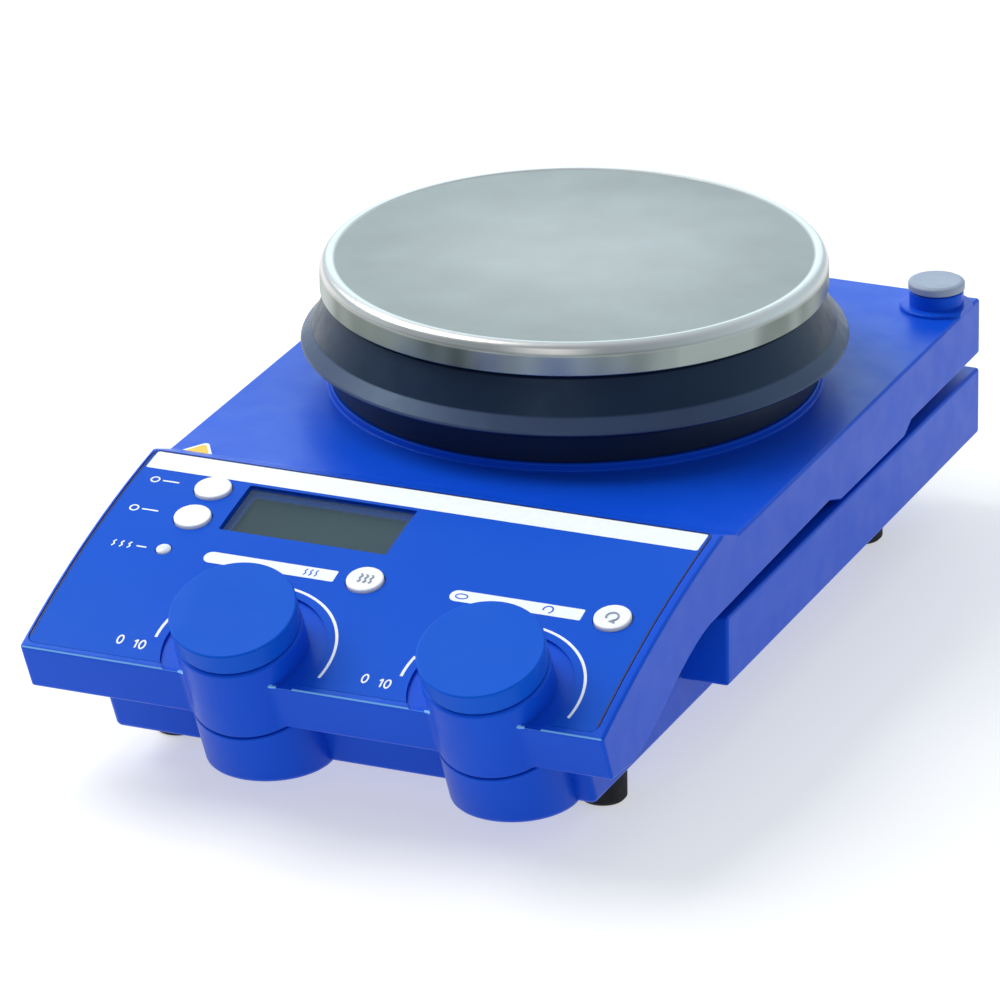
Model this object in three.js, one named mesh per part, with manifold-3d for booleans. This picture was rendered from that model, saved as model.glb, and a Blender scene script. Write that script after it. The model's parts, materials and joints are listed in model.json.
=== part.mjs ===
// Heated magnetic stirrer. Millimetres, +Z up, front towards -Y.
// The origin lies at table height under the middle of the outline.
import * as THREE from 'three';
import { mergeVertices } from 'three/addons/utils/BufferGeometryUtils.js';
import Module from 'manifold-3d';

const wasm = await Module();
wasm.setup();

// Driving dimensions
const GAP = 0.3;               // air between neighbouring pieces
const WALL = 3;                // cast housing walls
const ROUND = 32;              // sides of a large round piece
const SMALL_ROUND = 12;        // sides of a small round piece
const ARC_STEPS = 8;           // chords along the control panel's arc

const HALF_WIDTH = 80;
const REAR_Y = 139.7;
const TOP_Z = 59.1;            // top of the flat rear deck
const EDGE_Z = 43;             // lower edge of the upper housing
const TOP_FRONT_Y = -39;       // front end of the rear deck
const RIDGE_Y = -48.8;         // crest between deck and control panel
const PANEL_RADIUS = 325.65;   // the panel is an arc across the width, centred on y = 0
const PANEL_CENTRE_Z = -259.07;
const LIP_Y = -129.8;          // front end of the panel
const LIP_BOTTOM_Z = 26.1;
const TILT = THREE.MathUtils.degToRad(24.5);   // lean of the lip, the towers and the knobs
const FILM = { x: -0.8, halfWidth: 78, frontRim: 2, rearRim: 0.6 };   // rims of the housing around it

const KNOB_XS = { heat: -22.26, speed: 45.37 };
const KNOB_Y = -125.18;        // centre of a knob's top disc
const KNOB_Z = 56.88;
const KNOB_RADIUS = 16.5;
const KNOB_SEAM = 6.9;         // depths below the knob's top disc, along its axis
const TOWER_FLOOR = 12;
const TOWER_END = 29.8;
const POD_START = 30.5;
const POD_REACH = 62;
const POD_FLOOR_Z = 7.6;
const TOWER_RADIUS = 16.6;
const RECESS_RADIUS = 21;
const RECESS_DEPTH = 0.9;

const WINDOW = { x: -23.95, y: -68.8, width: 47, length: 20.6 };
const BUTTONS = {
  mode_button: [-56.1, -63],
  unit_button: [-56, -76],
  heat_button: [-1.5, -89.9],
  stir_button: [66.2, -89.7],
};
const BUTTON_RADIUS = 4.9;
const BUTTON_PROUD = 0.8;
const LAMP = [-57.9, -89.8];
const BOARD_DEPTH = 11;        // front board below the panel surface

const LOWER_FRONT_Y = -46.3;
const LOWER_Z = [19.7, 38.8];
const SKIRT = 2.5;
const TRAY_HALF_WIDTH = 66.8;
const TRAY_Z = [8.3, 36];
const TRAY_CHAMFER = 2;
const TRAY_FRONT = [-107, 17.5];   // a point of the tray's leaning front face
const TRAY_REAR_Y = 131;
const FRAME_HALF_WIDTH = 62;
const FRAME_Y = [-42, 110];
const FRAME_Z = [28, 55.8];
const POSTS = [[-57, -36], [57, -36], [-57, 84], [57, 84]];
const FOOT_X = 59.5;
const FOOT_YS = { front: -80.8, rear: 102.2 };
const FOOT_RADIUS = 6.2;

const PLATE_Y = 45.15;
const PLATE_RADIUS = 67.5;
const PLATE_TOP_Z = 95;
const COLLAR = { radius: 65.6, top: 61.2 };    // raised collar of the deck under the ring
const ROD_HOLE = { x: 71.2, y: 129.2, radius: 5, bossRadius: 7.4, bossTop: 64.3, stepRadius: 10, stepTop: 60.2 };

// Materials
function material(color, roughness, metalness) {
  return new THREE.MeshStandardMaterial({ color, roughness, metalness });
}

const BLUE = material(0x2058cc, 0.35, 0.1);
const KNOB_BLUE = material(0x1a4fd0, 0.3, 0);
const PRINT = material(0x265edc, 0.4, 0);
const STEEL = material(0xb4bcbc, 0.3, 1);
const DARK_RING = material(0x28303f, 0.25, 0);
const BLACK = material(0x16171a, 0.6, 0);
const RUBBER = material(0x0d0d0e, 0.9, 0);
const WHITE = material(0xe8ecf0, 0.45, 0);
const PLUG_GREY = material(0xb9bccb, 0.5, 0);
const GLASS = material(0x9fb6b0, 0.1, 0);
const DISPLAY = material(0x3c5555, 0.4, 0);
const GREEN_BOARD = material(0x1d5a36, 0.5, 0);
const WOOL = material(0xd8d2c2, 0.95, 0);
const BRASS = material(0xb89a58, 0.35, 1);
const COPPER = material(0xb06a3c, 0.4, 1);
const MAGNET = material(0x8f9398, 0.25, 1);
const AMBER = material(0xd08a2a, 0.3, 0);

// Solids
function weld(geometry) {
  const bare = geometry.clone();
  bare.deleteAttribute('normal');
  bare.deleteAttribute('uv');
  const welded = mergeVertices(bare, 1e-4);
  const corners = welded.index.array;
  const kept = [];
  for (let i = 0; i < corners.length; i += 3) {
    const [a, b, c] = corners.slice(i, i + 3);
    if (a !== b && b !== c && c !== a) kept.push(a, b, c);
  }
  welded.setIndex(kept);
  return welded;
}

function solid(geometry) {
  const welded = weld(geometry);
  const mesh = new wasm.Mesh({
    numProp: 3,
    vertProperties: Float32Array.from(welded.attributes.position.array),
    triVerts: Uint32Array.from(welded.index.array),
  });
  return new wasm.Manifold(mesh);
}

function geometryOf(body) {
  const mesh = body.getMesh();
  const geometry = new THREE.BufferGeometry();
  geometry.setAttribute('position', new THREE.Float32BufferAttribute(mesh.vertProperties, 3));
  geometry.setIndex(Array.from(mesh.triVerts));
  return geometry;
}

function carve(additions, cuts = []) {
  let body = solid(additions[0]);
  for (const extra of additions.slice(1)) body = body.add(solid(extra));
  for (const cut of cuts) body = body.subtract(solid(cut));
  return geometryOf(body);
}

function common(first, second) {
  return geometryOf(solid(first).intersect(solid(second)));
}

// Basic shapes
function slab([x0, x1], [y0, y1], [z0, z1]) {
  const box = new THREE.BoxGeometry(x1 - x0, y1 - y0, z1 - z0);
  return box.translate((x0 + x1) / 2, (y0 + y1) / 2, (z0 + z1) / 2);
}

function disc(radius, [z0, z1], [x, y] = [0, 0], sides = SMALL_ROUND) {
  const cylinder = new THREE.CylinderGeometry(radius, radius, z1 - z0, sides);
  return cylinder.rotateX(Math.PI / 2).translate(x, y, (z0 + z1) / 2);
}

function rod(radius, [y0, y1], [x, z] = [0, 0], sides = SMALL_ROUND) {
  const cylinder = new THREE.CylinderGeometry(radius, radius, y1 - y0, sides);
  return cylinder.translate(x, (y0 + y1) / 2, z);
}

function turned(profile, [x, y] = [0, 0], sides = SMALL_ROUND) {
  const points = profile.map(([r, z]) => new THREE.Vector2(r, z));
  return new THREE.LatheGeometry(points, sides).rotateX(Math.PI / 2).translate(x, y, 0);
}

function collar(inner, outer, [z0, z1], at = [0, 0], sides = SMALL_ROUND) {
  return turned([[inner, z0], [outer, z0], [outer, z1], [inner, z1], [inner, z0]], at, sides);
}

function acrossX(outline, halfWidth) {
  const options = { depth: 2 * halfWidth, bevelEnabled: false, curveSegments: 8 };
  const geometry = new THREE.ExtrudeGeometry(outline, options).translate(0, 0, -halfWidth);
  const toY = new THREE.Vector3(0, 1, 0);
  const toZ = new THREE.Vector3(0, 0, 1);
  const toX = new THREE.Vector3(1, 0, 0);
  return geometry.applyMatrix4(new THREE.Matrix4().makeBasis(toY, toZ, toX));
}

// The panel's arc and the leaning lip
function panelZ(y, inset = 0) {
  return PANEL_CENTRE_Z + Math.sqrt((PANEL_RADIUS - inset) ** 2 - y ** 2);
}

function panelMatrix(x, y) {
  const lean = new THREE.Matrix4().makeRotationX(Math.asin(-y / PANEL_RADIUS));
  return new THREE.Matrix4().makeTranslation(x, y, panelZ(y)).multiply(lean);
}

function knobMatrix(x) {
  const lean = new THREE.Matrix4().makeRotationX(TILT);
  return new THREE.Matrix4().makeTranslation(x, KNOB_Y, KNOB_Z).multiply(lean);
}

function lipY(z, inset = 0) {
  return LIP_Y + (panelZ(LIP_Y) - z) * Math.tan(TILT) + inset / Math.cos(TILT);
}

function innerLipY() {
  let y = LIP_Y;
  for (let pass = 0; pass < 8; pass++) y = lipY(panelZ(y, WALL), WALL);
  return y;
}

function arcTo(outline, fromY, toY, inset) {
  for (let step = 1; step <= ARC_STEPS; step++) {
    const y = THREE.MathUtils.lerp(fromY, toY, step / ARC_STEPS);
    outline.lineTo(y, panelZ(y, inset));
  }
}

function abovePanel([y0, y1], inset, halfWidth) {
  const high = 90;
  const outline = new THREE.Shape();
  outline.moveTo(y1, high);
  outline.lineTo(y0, high);
  outline.lineTo(y0, panelZ(y0, inset));
  arcTo(outline, y0, y1, inset);
  return acrossX(outline, halfWidth);
}

const FILM_SPAN = [LIP_Y + FILM.frontRim, RIDGE_Y - FILM.rearRim];
const group = new THREE.Group();

function place(name, geometry, look, matrix = new THREE.Matrix4()) {
  const mesh = new THREE.Mesh(weld(geometry), look);
  mesh.name = name;
  matrix.decompose(mesh.position, mesh.quaternion, mesh.scale);
  group.add(mesh);
  return mesh;
}

// Upper housing: rear deck, hooded control panel, knob towers and rod boss
function housingOutline() {
  const outline = new THREE.Shape();
  outline.moveTo(REAR_Y, EDGE_Z);
  outline.lineTo(REAR_Y, TOP_Z);
  outline.lineTo(TOP_FRONT_Y, TOP_Z);
  outline.lineTo(RIDGE_Y, panelZ(RIDGE_Y));
  arcTo(outline, RIDGE_Y, LIP_Y, 0);
  outline.lineTo(lipY(LIP_BOTTOM_Z), LIP_BOTTOM_Z);
  outline.lineTo(-111.2, 25.1);
  outline.bezierCurveTo(-96, 26, -78, 40, -58, 41.6);
  outline.lineTo(26.2, EDGE_Z);
  outline.lineTo(34.8, EDGE_Z - 2.9);
  outline.lineTo(81.8, EDGE_Z - 2.9);
  outline.lineTo(87.1, EDGE_Z);
  return outline;
}

function cavityOutline() {
  const outline = new THREE.Shape();
  outline.moveTo(REAR_Y - WALL, 0);
  outline.lineTo(REAR_Y - WALL, TOP_Z - WALL);
  outline.lineTo(TOP_FRONT_Y, TOP_Z - WALL);
  outline.lineTo(RIDGE_Y, panelZ(RIDGE_Y, WALL));
  arcTo(outline, RIDGE_Y, innerLipY(), WALL);
  outline.lineTo(lipY(0, WALL), 0);
  return outline;
}

function panelCuts() {
  const pocket = abovePanel([FILM_SPAN[0] - GAP, FILM_SPAN[1] + GAP], RECESS_DEPTH, FILM.halfWidth + GAP);
  const cuts = [pocket.translate(FILM.x, 0, 0)];
  const { x, y, width, length } = WINDOW;
  const seat = slab([-width / 2, width / 2], [-length / 2, length / 2], [-2.4, 5]);
  const opening = slab([2 - width / 2, width / 2 - 2], [2 - length / 2, length / 2 - 2], [-9, 5]);
  cuts.push(seat.applyMatrix4(panelMatrix(x, y)));
  cuts.push(opening.applyMatrix4(panelMatrix(x, y)));
  for (const at of Object.values(BUTTONS)) {
    cuts.push(disc(BUTTON_RADIUS + GAP, [-9, 5]).applyMatrix4(panelMatrix(...at)));
  }
  cuts.push(disc(2.3, [-9, 5]).applyMatrix4(panelMatrix(...LAMP)));
  return cuts;
}

function recessCut(x) {
  const round = disc(RECESS_RADIUS, [-40, 10], [0, 0], ROUND).applyMatrix4(knobMatrix(x));
  return common(round, abovePanel([LIP_Y - 20, RIDGE_Y], RECESS_DEPTH, HALF_WIDTH));
}

function upperHousing() {
  const outer = acrossX(housingOutline(), HALF_WIDTH);
  const cavity = acrossX(cavityOutline(), HALF_WIDTH - WALL);
  const knobXs = Object.values(KNOB_XS);
  const motorOpening = disc(50, [TOP_Z - 2 * WALL, TOP_Z + 1], [0, PLATE_Y], ROUND);
  const shell = carve([outer], [cavity, motorOpening, ...panelCuts(), ...knobXs.map(recessCut)]);
  const towers = knobXs.map((x) => {
    return disc(TOWER_RADIUS, [-TOWER_END, -KNOB_SEAM - 0.2], [0, 0], ROUND).applyMatrix4(knobMatrix(x));
  });
  const seat = turned([[58, TOP_Z - 1], [COLLAR.radius, TOP_Z - 1], [COLLAR.radius, COLLAR.top - 0.5],
    [COLLAR.radius - 0.5, COLLAR.top], [58, COLLAR.top], [58, TOP_Z - 1]], [0, PLATE_Y], ROUND);
  const rodAt = [ROD_HOLE.x, ROD_HOLE.y];
  const boss = disc(ROD_HOLE.bossRadius, [EDGE_Z, ROD_HOLE.bossTop], rodAt);
  const corner = slab([0, HALF_WIDTH], [0, REAR_Y], [TOP_Z - WALL, ROD_HOLE.stepTop]);
  const step = common(disc(ROD_HOLE.stepRadius, [0, TOP_Z + 9], rodAt), corner);
  const wells = [disc(ROD_HOLE.radius, [EDGE_Z - 1, ROD_HOLE.bossTop + 1], rodAt)];
  for (const x of knobXs) {
    const at = knobMatrix(x);
    wells.push(disc(TOWER_RADIUS - 2.2, [-TOWER_FLOOR, 0], [0, 0], ROUND).applyMatrix4(at));
    wells.push(disc(3.9, [-TOWER_END, 0]).applyMatrix4(at));
    wells.push(disc(TOWER_RADIUS - 2.6, [-TOWER_END - 1, -TOWER_FLOOR - 2.5], [0, 0], ROUND).applyMatrix4(at));
  }
  return carve([shell, ...towers, seat, boss, step], wells);
}

// Control panel: printed film, display, buttons and lamp
function panelFilm() {
  const sheet = abovePanel(FILM_SPAN, 0.6, FILM.halfWidth).translate(FILM.x, 0, 0);
  const cuts = [abovePanel([LIP_Y, RIDGE_Y], 0.15, HALF_WIDTH)];
  const { x, y, width, length } = WINDOW;
  const hole = slab([-width / 2, width / 2], [-length / 2, length / 2], [-5, 5]);
  cuts.push(hole.applyMatrix4(panelMatrix(x, y)));
  for (const at of Object.values(BUTTONS)) {
    cuts.push(disc(BUTTON_RADIUS + GAP, [-5, 5]).applyMatrix4(panelMatrix(...at)));
  }
  cuts.push(disc(2.3, [-5, 5]).applyMatrix4(panelMatrix(...LAMP)));
  for (const knobX of Object.values(KNOB_XS)) {
    cuts.push(disc(RECESS_RADIUS + GAP, [-40, 10], [0, 0], ROUND).applyMatrix4(knobMatrix(knobX)));
  }
  return carve([sheet], cuts);
}

function displayPieces() {
  const at = panelMatrix(WINDOW.x, WINDOW.y);
  const halfWidth = WINDOW.width / 2 - GAP;
  const halfLength = WINDOW.length / 2 - GAP;
  place('display_window', slab([-halfWidth, halfWidth], [-halfLength, halfLength], [-2.1, -1.1]), GLASS, at);
  place('display_module', slab([-22, 22], [-9.5, 9.5], [-7.4, -3.4]), DISPLAY, at);
}

function buttons() {
  for (const [name, at] of Object.entries(BUTTONS)) {
    const profile = [[0, -7.2], [1.8, -7.2], [1.8, -4.5], [6.2, -4.5], [6.2, -3.4],
      [BUTTON_RADIUS, -3.4], [BUTTON_RADIUS, BUTTON_PROUD - 0.4],
      [BUTTON_RADIUS - 0.4, BUTTON_PROUD], [0, BUTTON_PROUD]];
    place(name, turned(profile), WHITE, panelMatrix(...at));
  }
  const lens = [[0, -5.5], [3.2, -5.5], [3.2, -3.6], [2, -3.6], [2, 0], [1.2, 0.5], [0, 0.6]];
  place('heat_lamp_lens', turned(lens), AMBER, panelMatrix(...LAMP));
}

function frontBoard() {
  const middleY = -76;
  const board = panelMatrix(0, middleY);
  const toBoard = board.clone().invert();
  const solids = [slab([-73, 73], [-18, 20], [-BOARD_DEPTH - 1.6, -BOARD_DEPTH])];
  for (const [x, y] of Object.values(BUTTONS)) {
    const spot = new THREE.Vector3(x, y, panelZ(y)).applyMatrix4(toBoard);
    solids.push(slab([x - 3, x + 3], [spot.y - 3, spot.y + 3], [-BOARD_DEPTH - 0.5, -8.8]));
  }
  place('front_board', carve(solids), GREEN_BOARD, board);
}

// Knobs: cap, shaft, encoder and seal on one leaning axis
function knobPieces(label, x) {
  const at = knobMatrix(x);
  const cap = [[0, 0], [KNOB_RADIUS - 0.5, 0], [KNOB_RADIUS, -0.5], [KNOB_RADIUS - 0.4, 0.2 - KNOB_SEAM],
    [13.9, 0.2 - KNOB_SEAM], [13.9, -11.2], [12.2, -11.2], [12.2, -2.5], [4.5, -2.5],
    [4.5, -10.2], [2.3, -10.2], [2.3, -3.2], [0, -3.2]];
  place(`${label}_knob`, turned(cap.reverse(), [0, 0], ROUND), KNOB_BLUE, at);
  place(`${label}_knob_shaft`, disc(2, [-18, -3.5]), STEEL, at);
  const body = slab([-7, 7], [-7, 7], [-22, -TOWER_FLOOR - 2.8]);
  const bush = disc(3.5, [-16, -10.7]);
  place(`${label}_encoder`, carve([body, bush], [disc(2.3, [-18.5, 0])]), BRASS, at);
  place(`${label}_knob_seal`, collar(5.2, 7.2, [-11.7, -9.6]), RUBBER, at);
}

// Lower housing: a skirt around the sides and back of the tray
function lowerHousing() {
  const outer = slab([-HALF_WIDTH, HALF_WIDTH], [LOWER_FRONT_Y, REAR_Y], LOWER_Z);
  const roof = TRAY_Z[1] + GAP;
  const insideX = HALF_WIDTH - SKIRT;
  const trayX = TRAY_HALF_WIDTH + GAP;
  const frameX = FRAME_HALF_WIDTH + 0.4;
  const cuts = [
    slab([-insideX, insideX], [LOWER_FRONT_Y + SKIRT, REAR_Y - SKIRT], [LOWER_Z[0] - 1, roof]),
    slab([-frameX, frameX], [LOWER_FRONT_Y - 1, FRAME_Y[1] + 0.4], [roof - 1, LOWER_Z[1] + 1]),
    slab([-trayX, trayX], [LOWER_FRONT_Y - 1, LOWER_FRONT_Y + SKIRT + 1], [LOWER_Z[0] - 1, roof]),
    slab([-60, 60], [REAR_Y - SKIRT - 1, REAR_Y + 1], [LOWER_Z[0] - 1, 34.5]),
  ];
  return carve([outer], cuts);
}

// Base tray: a tub with a leaning front, two pods under the knob towers, bosses and sockets
function trayOutline(inset) {
  const lean = Math.tan(TILT);
  const frontY = (z) => TRAY_FRONT[0] + (TRAY_FRONT[1] - z) * lean + inset / Math.cos(TILT);
  const bottom = TRAY_Z[0] + inset;
  const outline = new THREE.Shape();
  outline.moveTo(TRAY_REAR_Y - inset, bottom);
  if (inset > 0) {
    outline.lineTo(TRAY_REAR_Y - inset, 70);
    outline.lineTo(frontY(70), 70);
  } else {
    const seamZ = (y) => KNOB_Z + ((y - KNOB_Y) * Math.sin(TILT) - POD_START) / Math.cos(TILT);
    const seamY = KNOB_Y + (POD_START - (KNOB_Z - TRAY_Z[1]) * Math.cos(TILT)) / Math.sin(TILT);
    outline.lineTo(TRAY_REAR_Y, TRAY_Z[1]);
    outline.lineTo(seamY, TRAY_Z[1]);
    let cornerZ = TRAY_Z[1];
    for (let pass = 0; pass < 12; pass++) cornerZ = seamZ(frontY(cornerZ));
    outline.lineTo(frontY(cornerZ), cornerZ);
  }
  const chamfer = inset > 0 ? 0 : TRAY_CHAMFER;
  outline.lineTo(frontY(bottom + chamfer), bottom + chamfer);
  if (chamfer > 0) outline.lineTo(frontY(bottom) + chamfer, bottom);
  return outline;
}

function traySection() {
  const [x, z, edge] = [TRAY_HALF_WIDTH, TRAY_Z[0], TRAY_CHAMFER];
  const section = new THREE.Shape();
  section.moveTo(x, TOP_Z);
  section.lineTo(-x, TOP_Z);
  section.lineTo(-x, z + edge);
  section.lineTo(edge - x, z);
  section.lineTo(x - edge, z);
  section.lineTo(x, z + edge);
  const geometry = new THREE.ExtrudeGeometry(section, { depth: 2 * REAR_Y, bevelEnabled: false });
  return geometry.rotateX(Math.PI / 2).translate(0, REAR_Y, 0);
}

function podPart(x, radius, start, floor) {
  const cylinder = disc(radius, [-POD_REACH, -start], [0, 0], ROUND).applyMatrix4(knobMatrix(x));
  return common(cylinder, slab([-HALF_WIDTH, HALF_WIDTH], [LIP_Y - 40, TRAY_REAR_Y], [floor, TOP_Z]));
}

function trayFloorParts() {
  const floor = TRAY_Z[0] + WALL;
  const bosses = [];
  const holes = [];
  for (const side of [-1, 1]) {
    for (const y of Object.values(FOOT_YS)) {
      const [near, far] = [side * (TRAY_HALF_WIDTH - 15), side * (TRAY_HALF_WIDTH - 1)];
      bosses.push(slab([Math.min(near, far), Math.max(near, far)], [y - 9, y + 9], [floor - 1, 13.4]));
      holes.push(disc(FOOT_RADIUS + 0.4, [0, 11.6], [side * FOOT_X, y]));
    }
    for (const y of [-82, -2]) bosses.push(disc(3, [floor - 1, 15.7], [side * 44, y], 12));
  }
  for (const at of POSTS) {
    bosses.push(disc(5.2, [floor - 1, 13.4], at));
    holes.push(disc(2.1, [0, 20], at, 12));
    holes.push(disc(4, [0, 11.5], at));
  }
  for (let row = 0; row < 7; row++) {
    const y = 24 + 7 * row;
    holes.push(slab([-24, 24], [y - 1.5, y + 1.5], [0, floor + 1]));
  }
  return { bosses, holes };
}

const SOCKETS = {
  inlet: [-36, 23.6],
  rocker: [-9.5, 23.6],
  fuse: [10, 23.6],
  serial: [34, 20],
  sensor: [55, 30],
  limit: [34, 31.5],
};

function wallCut([x, z], width, height) {
  const [halfX, halfZ] = [width / 2 + GAP, height / 2 + GAP];
  return slab([x - halfX, x + halfX], [TRAY_REAR_Y - WALL - 1, TRAY_REAR_Y + 1], [z - halfZ, z + halfZ]);
}

function wallBore(at, radius) {
  return rod(radius + GAP, [TRAY_REAR_Y - WALL - 1, TRAY_REAR_Y + 1], at);
}

function baseTray() {
  const { bosses, holes } = trayFloorParts();
  const outer = [common(acrossX(trayOutline(0), TRAY_HALF_WIDTH), traySection())];
  const inner = [acrossX(trayOutline(WALL), TRAY_HALF_WIDTH - WALL)];
  for (const x of Object.values(KNOB_XS)) {
    outer.push(podPart(x, TOWER_RADIUS, POD_START, POD_FLOOR_Z));
    inner.push(podPart(x, TOWER_RADIUS - WALL, TOWER_END, TRAY_Z[0] + WALL));
  }
  const tub = carve(outer, inner);
  return carve([tub, ...bosses], [
    ...holes,
    wallCut(SOCKETS.inlet, 27, 19),
    wallCut(SOCKETS.rocker, 19.4, 12.4),
    wallBore(SOCKETS.fuse, 5.6),
    wallCut(SOCKETS.serial, 19, 10.4),
    wallBore(SOCKETS.sensor, 5),
    wallBore(SOCKETS.limit, 2.2),
  ]);
}

function feet() {
  const profile = [[0, 0], [FOOT_RADIUS - 0.8, 0], [FOOT_RADIUS, 0.8], [FOOT_RADIUS, 11.2], [0, 11.2]];
  for (const [row, y] of Object.entries(FOOT_YS)) {
    place(`${row}_left_foot`, turned(profile, [-FOOT_X, y]), RUBBER);
    place(`${row}_right_foot`, turned(profile, [FOOT_X, y]), RUBBER);
  }
}

// Inner frame that carries the upper housing, and the screws that hold the case together
function chassisFrame() {
  const thick = 2;
  const [x, [y0, y1]] = [FRAME_HALF_WIDTH, FRAME_Y];
  const outer = slab([-x, x], FRAME_Y, FRAME_Z);
  const inner = slab([thick - x, x - thick], [y0 + thick, y1 - thick], [0, 70]);
  const cuts = [slab([-40, 40], [y0 - 1, y0 + thick + 1], [33, 50])];
  for (let vent = 0; vent < 8; vent++) {
    const y = 4 + 11 * vent;
    cuts.push(slab([-x - 1, x + 1], [y, y + 3.5], [38, 50]));
  }
  const posts = POSTS.map((at) => disc(4.5, [13.8, 50], at));
  const bores = POSTS.map((at) => disc(1.9, [13, 34], at, 12));
  return carve([carve([outer], [inner]), ...posts], [...cuts, ...bores]);
}

function caseScrews() {
  const profile = [[0, 8.8], [3.5, 8.8], [3.5, 11.2], [1.6, 11.2], [1.6, 32], [0, 32]];
  POSTS.forEach((at, index) => place(`case_screw_${index + 1}`, turned(profile, at, 12), STEEL));
}

// Heated plate stack
function plateStack() {
  const at = [0, PLATE_Y];
  const top = PLATE_TOP_Z;
  const plate = [[0, top - 4.5], [63.3, top - 4.5], [63.3, 86.3], [PLATE_RADIUS, 86.3], [PLATE_RADIUS, 92],
    [66.8, 93.9], [65.5, 94.8], [64, top], [0, top]];
  place('setup_plate', turned(plate, at, ROUND), STEEL);
  const foot = COLLAR.top + GAP;
  const ring = [[58.5, foot], [64.6, foot], [64.9, foot + 0.4], [64.9, 68.8], [72.3, 71.4], [72.9, 72.1],
    [72.6, 72.7], [69.7, 76], [67.6, 80.8], [65.8, 85], [65, 85.6], [62, 85.9], [61.3, 85.9],
    [61.3, 80.3], [58.5, 80.3], [58.5, foot]];
  place('plate_ring', turned(ring, at, ROUND), DARK_RING);
  place('heating_element', collar(20, 50, [87.9, 90.2], at, ROUND), COPPER);
  const angles = [90, 210, 330].map(THREE.MathUtils.degToRad);
  const spots = angles.map((angle) => [54 * Math.cos(angle), PLATE_Y + 54 * Math.sin(angle)]);
  const probes = { plate_sensor: [0, PLATE_Y], safety_sensor: [12, PLATE_Y] };
  const holes = spots.map((spot) => disc(3.4, [70, 90], spot, 12));
  for (const spot of Object.values(probes)) holes.push(disc(1.8, [70, 90], spot, 12));
  place('insulation_disc', carve([disc(60.8, [82.2, 87.6], at, ROUND)], holes), WOOL);
  place('heat_shield', carve([disc(60.8, [80.6, 81.9], at, ROUND)], holes), STEEL);
  spots.forEach((spot, index) => {
    place(`plate_post_${index + 1}`, disc(3, [TOP_Z + GAP, 90.2], spot, 12), STEEL);
  });
  for (const [name, spot] of Object.entries(probes)) place(name, disc(1.5, [77.5, 90.2], spot, 12), STEEL);
}

// Motor and the turning magnets
function motor() {
  const at = [0, PLATE_Y];
  const can = [[3.4, 27.2], [6.8, 27.2], [6.8, 22.5], [27, 22.5], [27, 51.6], [8.3, 51.6], [8.3, 46.8],
    [3.4, 46.8], [3.4, 27.2]];
  place('motor_can', turned(can, at, ROUND), BLACK);
  place('motor_shaft', disc(3, [20.5, 66], at), STEEL);
  place('upper_bearing', collar(3.3, 8, [47.1, 51.4], at), STEEL);
  place('lower_bearing', collar(3.3, 6.5, [22.8, 26.9], at), STEEL);
  const bar = slab([-40, 40], [PLATE_Y - 12, PLATE_Y + 12], [60, 66]);
  const hub = disc(8, [57, 62], at);
  place('magnet_holder', carve([bar, hub], [disc(3.3, [50, 70], at)]), BLACK);
  for (const [name, x] of Object.entries({ magnet_left: -28, magnet_right: 28 })) {
    place(name, disc(10, [66.3, 74], [x, PLATE_Y]), MAGNET);
  }
  const bracket = slab([-59.6, 59.6], [PLATE_Y - 40, PLATE_Y + 40], [52, 54]);
  place('motor_bracket', carve([bracket], [disc(12, [50, 60], at)]), STEEL);
}

// Power electronics on the tray's floor
function electronics() {
  place('main_board', slab([-50, 50], [-92, 4], [16, 17.6]), GREEN_BOARD);
  place('transformer', slab([-44, -6], [-84, -50], [17.9, 37]), COPPER);
  place('heater_relay', slab([10, 26], [-36, -14], [17.9, 30]), BLACK);
  const fins = [slab([16, 46], [-80, -52], [17.9, 21])];
  for (let fin = 0; fin < 5; fin++) {
    fins.push(slab([16 + 6.75 * fin, 19 + 6.75 * fin], [-80, -52], [20, 35]));
  }
  place('heat_sink', carve(fins), STEEL);
}

// Rear sockets and controls, fixed through the tray's rear wall
const PANEL_FACE_Y = TRAY_REAR_Y + GAP;

function powerInlet([x, z]) {
  const face = PANEL_FACE_Y;
  const flange = slab([x - 15, x + 15], [face, face + 1.7], [z - 11, z + 11]);
  const body = slab([x - 13.5, x + 13.5], [face - 19, face + 0.5], [z - 9.5, z + 9.5]);
  const well = slab([x - 11.8, x + 11.8], [face - 13.5, face + 3], [z - 7.7, z + 7.7]);
  const housing = carve([body, flange], [well]);
  const blades = [[-7, -1.8], [0, 1.8], [7, -1.8]].map(([dx, dz]) => {
    return slab([x + dx - 1, x + dx + 1], [face - 15, face - 4.5], [z + dz - 2, z + dz + 2]);
  });
  place('power_inlet', carve([housing, ...blades]), BLACK);
}

function rockerOutline() {
  const outline = new THREE.Shape();
  const points = [[-7.2, 5.6], [-6, 0.5], [-2.5, -2.2], [2.5, -2.2], [6, 0.5], [7.2, 5.6], [0, 4.2]];
  points.forEach(([x, y], index) => (index ? outline.lineTo(x, y) : outline.moveTo(x, y)));
  return outline;
}

function mainsRocker([x, z]) {
  const face = PANEL_FACE_Y;
  const bezel = slab([x - 11, x + 11], [face, face + 1.6], [z - 7.5, z + 7.5]);
  const body = slab([x - 9.7, x + 9.7], [face - 13, face + 0.5], [z - 6.2, z + 6.2]);
  const well = slab([x - 8.5, x + 8.5], [face - 7.5, face + 3], [z - 5, z + 5]);
  place('rocker_frame', carve([body, bezel], [well]), BLACK);
  const rocker = new THREE.ExtrudeGeometry(rockerOutline(), { depth: 9.2, bevelEnabled: false });
  const off = new THREE.Matrix4().makeRotationZ(THREE.MathUtils.degToRad(-8));
  const at = new THREE.Matrix4().makeTranslation(x, face - 3.8, z).multiply(off);
  place('rocker_switch', rocker.translate(0, 0, -4.6), BLACK, at);
}

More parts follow.
